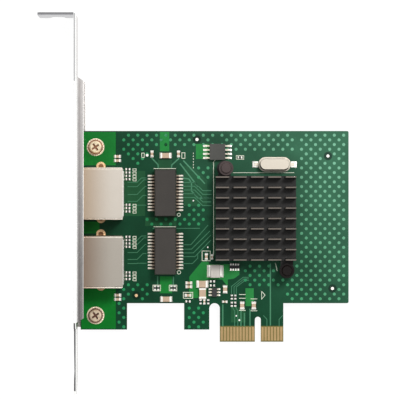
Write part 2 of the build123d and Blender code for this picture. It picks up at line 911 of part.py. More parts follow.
def crystal_leads():
    """A flat lead at each end of the seat."""
    leads = []
    for side in (-1, 1):
        edge = crystal_x + side * crystal_base_length / 2
        z_range = (contact_face, contact_face + lead_thickness)
        y_range = around(crystal_y, crystal_lead_width)
        leads.append(block(around(edge, 2 * crystal_lead_reach), y_range, z_range))
    return leads


def inductor_core():
    """A square ferrite block with a rounded top edge."""
    width = inductor_size - 2 * inductor_terminal
    z_range = (board_face, board_face + inductor_height)
    core = block(around(inductor_x, width), around(inductor_y, inductor_size), z_range)
    return fillet(core.edges().group_by(Axis.Z)[-1], inductor_edge_radius)


def inductor_terminals():
    """The tinned terminals at the two ends of the core."""
    core_half = inductor_size / 2 - inductor_terminal
    z_range = (board_face, board_face + inductor_terminal_height)
    ends = []
    for side in (-1, 1):
        x_range = sorted((inductor_x + side * core_half, inductor_x + side * inductor_size / 2))
        ends.append(block(x_range, around(inductor_y, inductor_terminal_width), z_range))
    return ends


def array_places():
    """The four elements of the resistor array."""
    return [array_x + array_pitch * (i - (array_elements - 1) / 2) for i in range(array_elements)]


def array_body():
    """The ceramic strip of the resistor array."""
    depth = array_width - 2 * array_end_length
    z_range = (board_face, board_face + array_height)
    return block(around(array_x, array_length), around(array_y, depth), z_range)


def array_ends():
    """A terminal at both ends of each element of the array."""
    z_range = (board_face, board_face + array_height + cap_overlap)
    ends = []
    for x in array_places():
        for side in (-1, 1):
            y = array_y + side * (array_width - array_end_length) / 2
            ends.append(block(around(x, array_end_width), around(y, array_end_length), z_range))
    return ends


def chip_part(size, x, y, upright):
    """The body and the two end caps of a chip part, long in Y when upright."""
    length, width, height, end = size
    body_size = (length - 2 * end, width)
    cap_size = (end, width + 2 * cap_overlap)
    if upright:
        body_size = body_size[::-1]
        cap_size = cap_size[::-1]
    body = block(around(x, body_size[0]), around(y, body_size[1]), (board_face, board_face + height))
    shift = (length - end) / 2
    caps = []
    for side in (-1, 1):
        cap_x = x if upright else x + side * shift
        cap_y = y + side * shift if upright else y
        z_range = (board_face, board_face + height + cap_overlap)
        caps.append(block(around(cap_x, cap_size[0]), around(cap_y, cap_size[1]), z_range))
    return body, caps


def column(x, y, count, pitch):
    """Places one above the other."""
    return [(x, y + pitch * i) for i in range(count)]


def chip_group(node, parts):
    """Write the bodies and the end caps of one kind of chip part."""
    bodies = []
    ends = []
    for size, x, y, upright in parts:
        body, caps = chip_part(size, x, y, upright)
        bodies.append(body)
        ends.extend(caps)
    save(f"{node}_bodies", *bodies)
    save(f"{node}_ends", *ends)


def resistor_parts():
    """The dark chips: rows behind the jacks, and the singles round the regulator."""
    x = jack_back + behind_jack
    level = list(level_resistors)
    for centre in jack_centres:
        level += column(x, centre + upper_row_offset, upper_row_count, resistor_row_pitch)
        level += column(x, centre + lower_row_offset, lower_row_count, resistor_row_pitch)
    parts = [(tiny_chip, x, y, False) for x, y in level]
    parts += [(tiny_chip, x, y, True) for x, y in upright_resistors]
    return parts


def capacitor_parts():
    """The ceramic chips, large by the magnetics and small round the regulator and the crystal."""
    kinds = (
        (large_chip, level_large, upright_large),
        (wide_chip, level_wide, upright_wide),
        (medium_chip, level_medium, upright_medium),
        (small_chip, level_small, upright_small),
        (tiny_chip, level_tiny, upright_tiny),
    )
    parts = []
    for size, level, upright in kinds:
        parts += [(size, x, y, False) for x, y in level]
        parts += [(size, x, y, True) for x, y in upright]
    return parts


def main():
    os.makedirs("parts", exist_ok=True)
    save("bracket", bracket())
    save("bracket_screws", bracket_screw(upper_screw_y), bracket_screw(lower_screw_y))
    save("circuit_board", circuit_board())
    save("edge_contacts", *edge_contacts())
    save("ring_pads", *ring_pads())
    for number, centre in enumerate(jack_centres, start=1):
        save(f"jack_{number}_shield", jack_shield(centre))
        save(f"jack_{number}_housing", jack_housing(centre))
        save(f"jack_{number}_contacts", *jack_contacts(centre))
        save(f"jack_{number}_lights", *jack_lights(centre))
    save("jack_solder_joints", *jack_solder_joints())
    for number, centre in enumerate(magnetics_centres, start=1):
        save(f"magnetics_{number}_body", magnetics_body(centre))
        save(f"magnetics_{number}_leads", *magnetics_leads(centre))
    chip_z = board_face + substrate_height
    save(
        "controller_substrate",
        block(around(chip_x, substrate_size), around(chip_y, substrate_size), (board_face, chip_z)),
    )
    save("controller_lid", block(around(chip_x, lid_size), around(chip_y, lid_size), (chip_z, lid_top)))
    save("thermal_pad", block(around(chip_x, pad_size), around(chip_y, pad_size), (lid_top, sink_bottom)))
    save("heat_sink", heat_sink())
    for number, (x, y) in enumerate(push_pins, start=1):
        save(f"push_pin_{number}", push_pin(x, y))
        save(f"push_pin_spring_{number}", push_pin_spring(x, y))
    save("crystal_can", crystal_can())
    save("crystal_base", crystal_base())
    save("crystal_leads", *crystal_leads())
    memory_bottom = board_face + memory_standoff
    save("memory_chip_body", drafted_body(
        memory_x, memory_y, memory_width, memory_length,
        memory_bottom, memory_height, memory_draft,
    ))
    save("memory_chip_leads", *memory_leads())
    regulator_bottom = board_face + regulator_standoff
    save("regulator_body", drafted_body(
        regulator_x, regulator_y, regulator_width, regulator_length,
        regulator_bottom, regulator_height, regulator_draft,
    ))
    save("regulator_leads", *regulator_leads())
    save("inductor_core", inductor_core())
    save("inductor_terminals", *inductor_terminals())
    save("resistor_array_body", array_body())
    save("resistor_array_ends", *array_ends())
    chip_group("resistor", resistor_parts())
    chip_group("capacitor", capacitor_parts())


main()
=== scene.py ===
import math

import bpy
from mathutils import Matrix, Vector


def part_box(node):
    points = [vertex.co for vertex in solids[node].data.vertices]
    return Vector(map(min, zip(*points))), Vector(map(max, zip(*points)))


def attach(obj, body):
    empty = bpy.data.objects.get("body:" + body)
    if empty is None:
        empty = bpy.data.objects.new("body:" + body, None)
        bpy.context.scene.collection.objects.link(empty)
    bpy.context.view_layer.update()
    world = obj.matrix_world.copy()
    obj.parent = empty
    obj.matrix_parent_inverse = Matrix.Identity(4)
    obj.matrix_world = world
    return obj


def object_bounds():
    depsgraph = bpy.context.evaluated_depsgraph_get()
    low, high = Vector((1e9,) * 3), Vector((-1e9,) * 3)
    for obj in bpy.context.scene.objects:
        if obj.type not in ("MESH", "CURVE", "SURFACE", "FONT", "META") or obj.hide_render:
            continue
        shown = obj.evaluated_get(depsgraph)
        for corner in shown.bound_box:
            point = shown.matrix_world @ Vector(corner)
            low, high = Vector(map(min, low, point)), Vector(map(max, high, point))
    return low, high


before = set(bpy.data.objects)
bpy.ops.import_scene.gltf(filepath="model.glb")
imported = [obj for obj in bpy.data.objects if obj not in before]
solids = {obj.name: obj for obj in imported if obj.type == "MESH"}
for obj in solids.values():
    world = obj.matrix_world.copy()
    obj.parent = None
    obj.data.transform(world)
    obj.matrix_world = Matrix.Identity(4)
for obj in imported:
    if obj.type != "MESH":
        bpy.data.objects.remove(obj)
cad_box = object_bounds()

# ---- Camera --------------------------------------------------------------------------------------
# The card lies on its back and is seen from straight above, from about a metre. Blender works in
# metres, so a value in millimetres is multiplied by mm.

mm = 0.001
board_low, board_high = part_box("circuit_board")
face = board_high.z
camera_height = 1100 * mm
view_width = 127.8 * mm
view_centre = (-18.48 * mm, 45.3 * mm)
camera_data = bpy.data.cameras.new("camera")
camera_data.sensor_width = 36
camera_data.lens = camera_data.sensor_width * camera_height / view_width
camera = bpy.data.objects.new("camera", camera_data)
camera.location = (*view_centre, face + camera_height)
bpy.context.collection.objects.link(camera)
bpy.context.scene.camera = camera
bpy.context.scene.view_settings.view_transform = "Standard"

# ---- Table ---------------------------------------------------------------------------------------
# A plain white table under the card. It glows where it is seen or mirrored, so that it stays white
# there, and is matt white cloth where it lights the card.


def place(tree, kind, sockets=None, **settings):
    """Adds one shader node. Sockets are constants or outputs to link, by input name or number."""
    made = tree.nodes.new(kind)
    for key, value in settings.items():
        setattr(made, key, value)
    for key, value in (sockets or {}).items():
        if isinstance(value, bpy.types.NodeSocket):
            tree.links.new(value, made.inputs[key])
        else:
            made.inputs[key].default_value = value
    return made


def calculate(tree, operation, first, second=0, **settings):
    """One step of arithmetic on two numbers, each a constant or a socket."""
    return place(tree, "ShaderNodeMath", {0: first, 1: second}, operation=operation, **settings).outputs[0]


def clear_selection():
    """Leaves nothing selected, so that an operator acts on new work only."""
    bpy.ops.object.select_all(action="DESELECT")


table_size = 8.0
cloth_white = 0.92
glow_strength = 1.07
glow_part = 0.88
clear_selection()
bpy.ops.mesh.primitive_plane_add(size=table_size, location=(*view_centre, cad_box[0][2]))
floor = bpy.context.object
floor.name = "floor"
table_finish = bpy.data.materials.new("white_table")
table_finish.use_nodes = True
tree = table_finish.node_tree
tree.nodes.clear()
rays = place(tree, "ShaderNodeLightPath").outputs
seen = calculate(tree, "ADD", rays["Is Camera Ray"], rays["Is Glossy Ray"])
seen = calculate(tree, "ADD", seen, rays["Is Transmission Ray"])
glow_share = calculate(tree, "MULTIPLY", seen, glow_part, use_clamp=True)
cloth = place(tree, "ShaderNodeBsdfDiffuse", {"Color": (cloth_white, cloth_white, cloth_white, 1)})
glow = place(tree, "ShaderNodeEmission", {"Color": (1, 1, 1, 1), "Strength": glow_strength})
mixed = place(tree, "ShaderNodeMixShader", {0: glow_share, 1: cloth.outputs[0], 2: glow.outputs[0]})
place(tree, "ShaderNodeOutputMaterial", {0: mixed.outputs[0]})
floor.data.materials.append(table_finish)

# ---- Light ---------------------------------------------------------------------------------------
# The card lies in a white tent. Its ceiling fades towards the near left side, a white wall stands at
# the left and a window at the upper right, with a soft key lamp there and a weak one at the near side.


def ramp(tree, value, start, end, first=0, last=1, soft=False):
    """Goes from the first number to the last while a value goes from start to end."""
    shape = "SMOOTHSTEP" if soft else "LINEAR"
    made = place(tree, "ShaderNodeMapRange", {"Value": value, 1: start, 2: end, 3: first, 4: last},
                 interpolation_type=shape)
    return made.outputs[0]


ceiling_slant = 0.4
ceiling_reach = 0.26
ceiling_levels = (0.12, 1.0)
ceiling_heights = (0.7, 0.9)
wall_heights = (0.1, 0.5)
wall_levels = (0.85, 0.36)
backdrop_level = 1.07
# Direction of a bright side, where it starts and where it is whole along that direction, its level
bright_sides = (
    ((-1, 0, 0), 0.2, 0.5, 1.15),
    ((0.75, 0.65, 0), 0.4, 0.8, 1.2),
)
world = bpy.data.worlds.new("light_tent")
bpy.context.scene.world = world
world.use_nodes = True
tree = world.node_tree
tree.nodes.clear()
outward = place(tree, "ShaderNodeTexCoord").outputs["Generated"]
axes = place(tree, "ShaderNodeSeparateXYZ", {0: outward}).outputs
slope = calculate(tree, "MULTIPLY", axes["X"], ceiling_slant)
slope = calculate(tree, "ADD", axes["Y"], slope)
ceiling = ramp(tree, slope, -ceiling_reach, ceiling_reach, *ceiling_levels, soft=True)
overhead = ramp(tree, axes["Z"], *ceiling_heights, soft=True)
walls = ramp(tree, axes["Z"], *wall_heights, *wall_levels, soft=True)
tent = place(tree, "ShaderNodeMix", {"Factor": overhead, "A": walls, "B": ceiling}, data_type="FLOAT")
level = tent.outputs[0]
for toward, start, end, bright in bright_sides:
    facing = place(tree, "ShaderNodeVectorMath", {0: outward, 1: toward}, operation="DOT_PRODUCT")
    side = ramp(tree, facing.outputs["Value"], start, end, 0, bright, soft=True)
    level = calculate(tree, "MAXIMUM", level, side)
seen = place(tree, "ShaderNodeLightPath").outputs["Is Camera Ray"]
shown = place(tree, "ShaderNodeMix", {"Factor": seen, "A": level, "B": backdrop_level}, data_type="FLOAT")
sky = place(tree, "ShaderNodeBackground", {"Color": (1, 1, 1, 1), "Strength": shown.outputs[0]})
place(tree, "ShaderNodeOutputWorld", {0: sky.outputs[0]})

# Name of a lamp, its place from the middle of the view, its size in metres and its power in watts
lamps = (
    ("key_lamp", (0.42, 0.52, 1.35), 0.3, 13),
    ("low_lamp", (0.1, -0.9, 0.7), 0.5, 1.5),
)
for name, spot, size, power in lamps:
    lamp_data = bpy.data.lights.new(name, "AREA")
    lamp_data.size = size
    lamp_data.energy = power
    lamp = bpy.data.objects.new(name, lamp_data)
    lamp.location = (view_centre[0] + spot[0], view_centre[1] + spot[1], spot[2])
    lamp.rotation_euler = Vector(spot).to_track_quat("Z", "Y").to_euler()
    bpy.context.collection.objects.link(lamp)

# ---- Board ---------------------------------------------------------------------------------------
# Glass laminate under a glossy green lacquer. The lacquer looks dark over bare laminate and
# brighter over copper. The sawn edges and the strip between the contacts show the laminate itself.


def paint(red, green, blue):
    """A colour written as three screen values from 0 to 255, as the shaders want it."""
    def linear(value):
        value /= 255
        return value / 12.92 if value <= 0.04045 else ((value + 0.055) / 1.055) ** 2.4
    return (linear(red), linear(green), linear(blue), 1)


def new_group(name, inputs, outputs):
    """A shader node group. Returns the group, the sockets that come in and those that go out."""
    group = bpy.data.node_groups.new(name, "ShaderNodeTree")
    for label, kind, value in inputs:
        socket = group.interface.new_socket(label, in_out="INPUT", socket_type=kind)
        socket.default_value = value
    for label, kind in outputs:
        group.interface.new_socket(label, in_out="OUTPUT", socket_type=kind)
    entry = group.nodes.new("NodeGroupInput")
    leave = group.nodes.new("NodeGroupOutput")
    return group, entry.outputs, leave.inputs


# Mottle: a colour that drifts slowly over the surface and is speckled finely, and its grain as a height
noise_middle = 0.5
noise_gain = 4.0
mottle, given, wanted = new_group(
    "mottle",
    (
        ("Color", "NodeSocketColor", (0.5, 0.5, 0.5, 1)),
        ("Drift", "NodeSocketFloat", 0.1),
        ("Drift Scale", "NodeSocketFloat", 60),
        ("Speck", "NodeSocketFloat", 0.05),
        ("Speck Scale", "NodeSocketFloat", 2500),
    ),
    (("Color", "NodeSocketColor"), ("Grain", "NodeSocketFloat")),
)
spot = place(mottle, "ShaderNodeTexCoord").outputs["Object"]
slow = place(mottle, "ShaderNodeTexNoise", {"Vector": spot, "Scale": given["Drift Scale"], "Detail": 2.0})
fine = place(mottle, "ShaderNodeTexNoise", {"Vector": spot, "Scale": given["Speck Scale"], "Detail": 3.0})
shares = []
for texture, amount in ((slow, given["Drift"]), (fine, given["Speck"])):
    centred = calculate(mottle, "SUBTRACT", texture.outputs[0], noise_middle)
    widened = calculate(mottle, "MULTIPLY", centred, noise_gain)
    shares.append(calculate(mottle, "MULTIPLY", widened, amount))
change = calculate(mottle, "ADD", *shares)
gain = calculate(mottle, "ADD", change, 1.0)
scaled = place(mottle, "ShaderNodeVectorMath", {0: given["Color"], "Scale": gain}, operation="SCALE")
mottle.links.new(scaled.outputs[0], wanted["Color"])
mottle.links.new(fine.outputs[0], wanted["Grain"])

# Fade: a mask that runs from 0 to 1 between two places along a direction
fade, given, wanted = new_group(
    "fade",
    (
        ("Direction", "NodeSocketVector", (1, 0, 0)),
        ("From", "NodeSocketFloat", 0),
        ("To", "NodeSocketFloat", 0.01),
    ),
    (("Mask", "NodeSocketFloat"),),
)
spot = place(fade, "ShaderNodeTexCoord").outputs["Object"]
along = place(fade, "ShaderNodeVectorMath", {0: spot, 1: given["Direction"]}, operation="DOT_PRODUCT")
mask = ramp(fade, along.outputs["Value"], given["From"], given["To"], soft=True)
fade.links.new(mask, wanted["Mask"])


def new_finish(name, **shader_values):
    """A new material. Returns it with its node tree and its main shader, set to the values given."""
    finish = bpy.data.materials.new(name)
    finish.use_nodes = True
    shader = finish.node_tree.nodes["Principled BSDF"]
    for label, value in shader_values.items():
        shader.inputs[label.replace("_", " ")].default_value = value
    return finish, finish.node_tree, shader


def use_mottle(tree, color, drift, drift_scale, speck, speck_scale):
    """Places the mottle group in a material."""
    return place(tree, "ShaderNodeGroup", {
        "Color": color, "Drift": drift, "Drift Scale": drift_scale,
        "Speck": speck, "Speck Scale": speck_scale,
    }, node_tree=mottle).outputs


def use_fade(tree, direction, start, end):
    """Places the fade group in a material, with its two places in millimetres."""
    return place(tree, "ShaderNodeGroup", {
        "Direction": direction, "From": start * mm, "To": end * mm,
    }, node_tree=fade).outputs["Mask"]


def blend(tree, share, first, second):
    """Mixes two colours, each a constant or a socket."""
    made = place(tree, "ShaderNodeMix", {0: share, 6: first, 7: second}, data_type="RGBA")
    return made.outputs[2]


def both(tree, first, second):
    """The product of two masks."""
    return calculate(tree, "MULTIPLY", first, second)


def normal_axes(tree):
    """The three parts of the direction that a face looks in."""
    normal = place(tree, "ShaderNodeNewGeometry").outputs["Normal"]
    return place(tree, "ShaderNodeSeparateXYZ", {0: normal}).outputs


def raise_grain(tree, shader, height, depth, strength=0.5):
    """Turns a grain into small bumps of a given depth in millimetres."""
    bump = place(tree, "ShaderNodeBump", {"Height": height, "Distance": depth * mm, "Strength": strength})
    tree.links.new(bump.outputs[0], shader.inputs["Normal"])


# Where the painted sheen on the lacquers is whole, in millimetres along its direction
sheen_end = 62


def lacquer(name, deep, sheen_color, drift=0.12, sheen_start=0, toward=(0.75, 0.65, 0)):
    """Green lacquer, with a painted sheen that makes it paler towards one side, the side of the lit window.
    """
    finish, tree, shader = new_finish(name, Roughness=0.3, Specular_IOR_Level=0.1)
    sheen = use_fade(tree, toward, sheen_start, sheen_end)
    coat = use_mottle(tree, blend(tree, sheen, deep, sheen_color), drift, 70, 0.06, 1800)
    tree.links.new(coat["Color"], shader.inputs["Base Color"])
    raise_grain(tree, shader, coat["Grain"], 0.006, 0.3)
    return finish, tree, shader, coat


def dress(node, finish):
    """Puts a finish on a solid of the frame."""
    solid = solids[node]
    if not solid.material_slots:
        solid.data.materials.append(finish)
    for material_slot in solid.material_slots:
        material_slot.material = finish


strip_top = 5.0
tongue_left = -13.5
strip_blur = 0.1
sawn_slant = 0.2
glossy = 0.3
matt = 0.75
green = paint(14, 60, 38)
over_laminate, tree, shader, coat = lacquer("lacquer_over_laminate", green, paint(52, 98, 74), 0.3)
laminate = use_mottle(tree, paint(142, 136, 84), 0.1, 300, 0.12, 5000)
sawn = calculate(tree, "LESS_THAN", calculate(tree, "ABSOLUTE", normal_axes(tree)["Z"]), sawn_slant)
by_contacts = use_fade(tree, (0, -1, 0), -strip_top - strip_blur, -strip_top)
on_tongue = use_fade(tree, (1, 0, 0), tongue_left, tongue_left + strip_blur)
between = both(tree, by_contacts, on_tongue)
bare = calculate(tree, "MAXIMUM", sawn, between)
rubbed = blend(tree, between, coat["Color"], paint(112, 104, 58))
tree.links.new(blend(tree, sawn, rubbed, laminate["Color"]), shader.inputs["Base Color"])
tree.links.new(ramp(tree, bare, 0, 1, glossy, matt), shader.inputs["Roughness"])
dress("circuit_board", over_laminate)

# ---- Copper under the lacquer --------------------------------------------------------------------
# Plain areas of copper carry ground and power. They stand a hair above the laminate and look
# bright green, because the lacquer over them is lit by the metal underneath.

copper_rise = 0.018 * mm


def complete(name, finish, smooth_angle=30):
    """Names the active object, applies its place, shades it and gives it a finish."""
    piece = bpy.context.object
    piece.name = name
    bpy.ops.object.transform_apply(location=True, rotation=True, scale=True)
    bpy.ops.object.shade_smooth_by_angle(angle=math.radians(smooth_angle))
    piece.data.materials.clear()
    piece.data.materials.append(finish)
    return piece


def thicken(low, high):
    """Extrudes the flat face of the active object from one height to another."""
    bpy.ops.object.mode_set(mode="EDIT")
    bpy.ops.mesh.select_all(action="SELECT")
    bpy.ops.mesh.extrude_region_move(TRANSFORM_OT_translate={"value": (0, 0, high - low)})
    bpy.ops.mesh.select_all(action="SELECT")
    bpy.ops.mesh.normals_make_consistent(inside=False)
    bpy.ops.object.mode_set(mode="OBJECT")


def flat_area(corners, low, high):
    """A flat plate with the given corners: a filled ring whose points are set, then extruded."""
    clear_selection()
    bpy.ops.mesh.primitive_circle_add(vertices=len(corners), fill_type="NGON")
    plate = bpy.context.object
    for point, (x, y) in zip(plate.data.vertices, corners):
        point.co = (x * mm, y * mm, low)
    thicken(low, high)
    return plate


def join_all(made):
    """Joins objects into one, which stays active."""
    clear_selection()
    for piece in made:
        piece.select_set(True)
    bpy.context.view_layer.objects.active = made[0]
    if len(made) > 1:
        bpy.ops.object.join()


ground_left = board_low.x / mm + 0.25
ground_top = board_high.y / mm - 0.3
chassis_edge = -45.4
areas = (
    # Round the upper screw, between the jacks, and round the lower screw
    ((ground_left, 56.4), (chassis_edge, 56.4), (chassis_edge, ground_top), (ground_left, ground_top)),
    ((ground_left, 34.6), (-50.6, 34.6), (-50.6, 38.4), (ground_left, 38.4)),
    ((ground_left, 4.2), (chassis_edge, 4.2), (chassis_edge, 16.9), (ground_left, 16.9)),
    # Above the first magnetics module, below the second, and beside the memory chip
    ((-31.3, 60.9), (-28.3, 60.9), (-28.3, ground_top), (-31.3, ground_top)),
    ((-31.3, 15.5), (-27.4, 15.5), (-27.4, 20.9), (-31.3, 20.9)),
    ((-19.8, 58.4), (-15.2, 58.4), (-15.2, 63.2), (-19.8, 63.2)),
    # Round the inductor and the regulator, and above the contacts
    ((-21.9, 20.8), (-17.9, 25.6), (-15.7, 25.6), (-15.7, 24.8), (-5.9, 24.8), (-5.9, 21.4), (-7.6, 20.2),
     (-9.6, 19.9), (-9.6, 17.6), (-11.4, 19.9), (-16.4, 19.9), (-16.4, 14.0), (-22.0, 14.0)),
    ((-3.95, 11.4), (-1.3, 11.4), (-1.3, 17.1), (-3.95, 17.1)),
)
bright = paint(4, 108, 32)
over_copper = lacquer("lacquer_over_copper", bright, paint(64, 148, 88), 0.2, -50, (0.9, 0.3, 0))[0]
join_all([flat_area(corners, face - copper_rise, face + copper_rise) for corners in areas])
copper_areas = complete("copper_areas", over_copper)
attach(copper_areas, "root")

# ---- Inner planes --------------------------------------------------------------------------------
# Copper on the inner layers shows through the laminate as fields of a slightly lighter green. Each
# is laid on the board as a film that stands half as high as the outer copper.

inner_rise = copper_rise / 2
inner_areas = (
    ((-42.6, 40.2), (-36.0, 40.2), (-36.0, 54.6), (-42.6, 54.6)),
    ((-31.9, 55.2), (-27.4, 55.2), (-27.4, 58.2), (-31.9, 58.2)),
    ((-23.6, 43.4), (-16.2, 43.4), (-16.2, 51.6), (-20.9, 56.2), (-23.6, 56.2)),
    ((-36.0, 37.0), (-26.0, 37.0), (-26.0, 39.8), (-36.0, 39.8)),
    ((-8.6, 6.2), (-3.9, 6.2), (-3.9, 11.0), (-8.6, 11.0)),
)
inner_copper = lacquer("lacquer_over_inner_copper", paint(30, 78, 48), paint(52, 90, 74), 0.2)[0]
join_all([flat_area(corners, face - inner_rise, face + inner_rise) for corners in inner_areas])
inner_planes = complete("inner_planes", inner_copper)
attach(inner_planes, "root")

# ---- Copper dots ---------------------------------------------------------------------------------
# Spare copper is left as round dots in staggered rows wherever the board has no parts, on both
# faces, so that the plating comes out even.

back = board_low.z
dot_radius = 0.5 * mm
dot_bevel = 0.4 * copper_rise
dot_pitch = 2.99
dot_row_pitch = 1.493
dot_rows = 42
dot_columns = range(-22, 3)
dot_start = (21.44, 66.0)
# Boxes, each as its left, right, bottom and top
dot_fields = (
    (-43.6, -34.4, 59.3, 66.6), (-41.2, -36.2, 56.4, 59.3), (-34.4, -14.4, 62.9, 66.6),
    (-12.2, 12.0, 60.9, 66.6), (13.2, 28.2, 12.9, 66.6), (9.4, 13.2, 12.9, 21.0),
    (-4.4, 13.2, 17.7, 24.9), (-36.0, -18.6, 37.3, 39.6), (-23.0, -16.4, 37.3, 44.6),
    (-19.8, -15.4, 51.8, 56.4), (-43.0, -34.6, 12.9, 19.2), (-44.9, -42.1, 4.6, 12.9),
    (-22.9, -16.2, 4.6, 11.8),
)
dot_gaps = (
    (-21.2, -17.6, 63.2, 66.0), (20.6, 24.2, 57.6, 61.1), (22.1, 25.6, 15.3, 18.8),
    (-40.6, -37.2, 13.1, 16.4), (6.4, 12.2, 19.8, 26.6), (-0.6, 12.6, 53.3, 59.6),
)


def inside(x, y, boxes):
    """Whether a place is in any of the boxes."""
    return any(low_x < x < high_x and low_y < y < high_y for low_x, high_x, low_y, high_y in boxes)


def copy_to(first, spot):
    """A copy of an object at another place, with a mesh of its own."""
    made = first.copy()
    made.data = first.data.copy()
    made.location = spot
    bpy.context.collection.objects.link(made)
    return made


dot_finish = lacquer("lacquer_over_dots", paint(40, 133, 83), paint(112, 168, 139), 0.16)[0]
clear_selection()
bpy.ops.mesh.primitive_cylinder_add(vertices=12, radius=dot_radius, depth=2 * copper_rise)
first_dot = bpy.context.object
bpy.ops.object.mode_set(mode="EDIT")
bpy.ops.mesh.select_all(action="SELECT")
bpy.ops.mesh.bevel(offset=dot_bevel, segments=1, affect="EDGES")
bpy.ops.object.mode_set(mode="OBJECT")
dots = []
for row in range(dot_rows):
    y = dot_start[1] - dot_row_pitch * row
    for column in dot_columns:
        x = dot_start[0] + dot_pitch * (column + (row % 2) / 2)
        if inside(x, y, dot_fields) and not inside(x, y, dot_gaps):
            dots += [copy_to(first_dot, (x * mm, y * mm, height)) for height in (face, back)]
bpy.data.objects.remove(first_dot)
join_all(dots)
copper_dots = complete("copper_dots", dot_finish)
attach(copper_dots, "root")

# ---- Copper tracks -------------------------------------------------------------------------------
# Narrow runs of copper under the lacquer, from the magnetics to the controller, from the jacks to
# the magnetics and down to the edge contacts. They turn in short slants, never at a right angle.

track_width = 0.2 * mm
wide_track = 0.4 * mm
track_rise = copper_rise * 0.8
mitre_limit = 0.5


def flat_run(points, width, low, high):
    """A flat strip along a path: a grid whose pairs of points are set, mitred where it turns."""
    clear_selection()
    bpy.ops.mesh.primitive_grid_add(x_subdivisions=len(points) - 1, y_subdivisions=1)
    strip = bpy.context.object
    pairs = sorted(strip.data.vertices, key=lambda point: (round(point.co.x, 4), point.co.y))
    path = [Vector(point) * mm for point in points]
    for number, centre in enumerate(path):
        before = (centre - path[number - 1]).normalized() if number else None
        after = (path[number + 1] - centre).normalized() if number + 1 < len(path) else None
        along = ((before or after) + (after or before)).normalized()
        spread = width / 2 / max(mitre_limit, along.dot(after or before))
        side = Vector((-along.y, along.x)) * spread
        for point, offset in zip(pairs[2 * number:2 * number + 2], (-side, side)):
            point.co = (*(centre + offset), low)
    thicken(low, high)
    return strip


fine_paths = [
    # At the second magnetics module, most of them on their way to the controller
    [(-24.2, 31.0), (-21.4, 31.0), (-15.9, 37.3)],
    [(-24.2, 29.6), (-21.2, 29.6), (-15.3, 35.4)],
    [(-24.2, 28.4), (-20.6, 28.4), (-15.0, 34.1)],
    [(-24.2, 27.2), (-20.1, 27.2), (-15.0, 32.5)],
    [(-24.2, 25.0), (-20.9, 25.0), (-19.2, 26.7), (-19.2, 28.0)],
    [(-33.6, 36.2), (-18.5, 36.25)],
    # To the right of the regulator, and down to the edge contacts
    [(-8.4, 14.9), (-8.4, 17.7), (-4.7, 20.6), (-2.9, 20.6)],
    [(-7.6, 14.9), (-7.6, 17.6), (-4.4, 20.1), (-2.9, 20.1)],
    [(-6.9, 14.9), (-6.9, 17.5), (-4.1, 19.6), (-2.9, 19.6)],
    [(-8.3, 11.2), (-7.4, 9.9), (-7.4, 4.9)],
    [(7.9, 8.4), (6.8, 7.2), (6.8, 4.9)],
    [(1.8, 8.4), (2.9, 7.2), (2.9, 4.9)],
    [(-7.2, 11.2), (-6.4, 9.9), (-6.4, 4.9)],
]
# From each jack to its magnetics: the height at which a track starts and how far its slant rises
upper_port = 18.55
jack_end, slant_start, magnetics_end = -41.6, -38.6, -35.6
for shift in (0, upper_port):
    for start, rise in ((28.5, 2.6), (26.3, 1.9), (25.0, 0.1), (31.0, 2.2), (32.4, 1.4)):
        y = start + shift
        fine_paths.append([
            (jack_end, y), (slant_start, y), (slant_start + rise, y + rise), (magnetics_end, y + rise),
        ])
# From the first magnetics module to the controller
for number in range(5):
    y = 50.9 - 1.2 * number
    fine_paths.append([(-24.2, y), (-20.2, y), (-17.6, y - 2.6), (-14.8, y - 2.6)])
wide_paths = [
    [(-23.8, 57.9), (-16.9, 50.5)],
    [(-24.9, 57.0), (-19.1, 49.5)],
    [(-23.9, 52.3), (-22.0, 52.0), (-21.2, 50.7), (-21.2, 48.2), (-19.1, 45.9), (-15.6, 45.9)],
    [(-33.85, 59.4), (-33.7, 58.5), (-31.9, 56.6), (-31.8, 55.4)],
    [(-25.3, 59.4), (-25.3, 58.5), (-27.5, 56.5), (-27.6, 55.4)],
    [(-32.0, 20.9), (-32.0, 17.6)],
    [(-27.0, 20.9), (-27.0, 17.6)],
    [(-11.2, 11.9), (-11.2, 4.9)],
    [(-5.4, 10.6), (-5.4, 4.9)],
    [(-4.3, 9.2), (-4.3, 4.9)],
    [(-2.5, 10.6), (-2.5, 4.9)],
    [(4.0, 25.0), (4.0, 5.2)],
]
track_finish = lacquer("lacquer_over_tracks", paint(66, 120, 90), paint(100, 162, 130), 0.12)[0]
runs = [flat_run(path, track_width, face - track_rise, face + track_rise) for path in fine_paths]
runs += [flat_run(path, wide_track, face - track_rise, face + track_rise) for path in wide_paths]
join_all(runs)
copper_tracks = complete("copper_tracks", track_finish)
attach(copper_tracks, "root")

# ---- Printed lines -------------------------------------------------------------------------------
# White ink, printed through a screen: the outline of the controller and short marks that show which
# way round a part goes. It stands a little above the lacquer.

ink_rise = 0.03 * mm
ink_width = 0.18 * mm
ring_steps = 14


def grained_finish(name, color, mottling, depth, **shader_values):
    """A mottled finish with a fine grain. Its colour is a constant, or a function that mixes it."""
    finish, tree, shader = new_finish(name, **shader_values)
    coat = use_mottle(tree, color(tree) if callable(color) else color, *mottling)
    tree.links.new(coat["Color"], shader.inputs["Base Color"])
    raise_grain(tree, shader, coat["Grain"], depth)
    return finish


def ink_box(low_x, high_x, low_y, high_y):
    """A small printed rectangle round a part."""
    return [(low_x, low_y), (high_x, low_y), (high_x, high_y), (low_x, high_y), (low_x, low_y)]


def ink_ring(x, y, radius):
    """A small printed circle, as a closed path of short runs."""
    turns = [math.tau * step / ring_steps for step in range(ring_steps + 1)]
    return [(x + radius * math.cos(turn), y + radius * math.sin(turn)) for turn in turns]


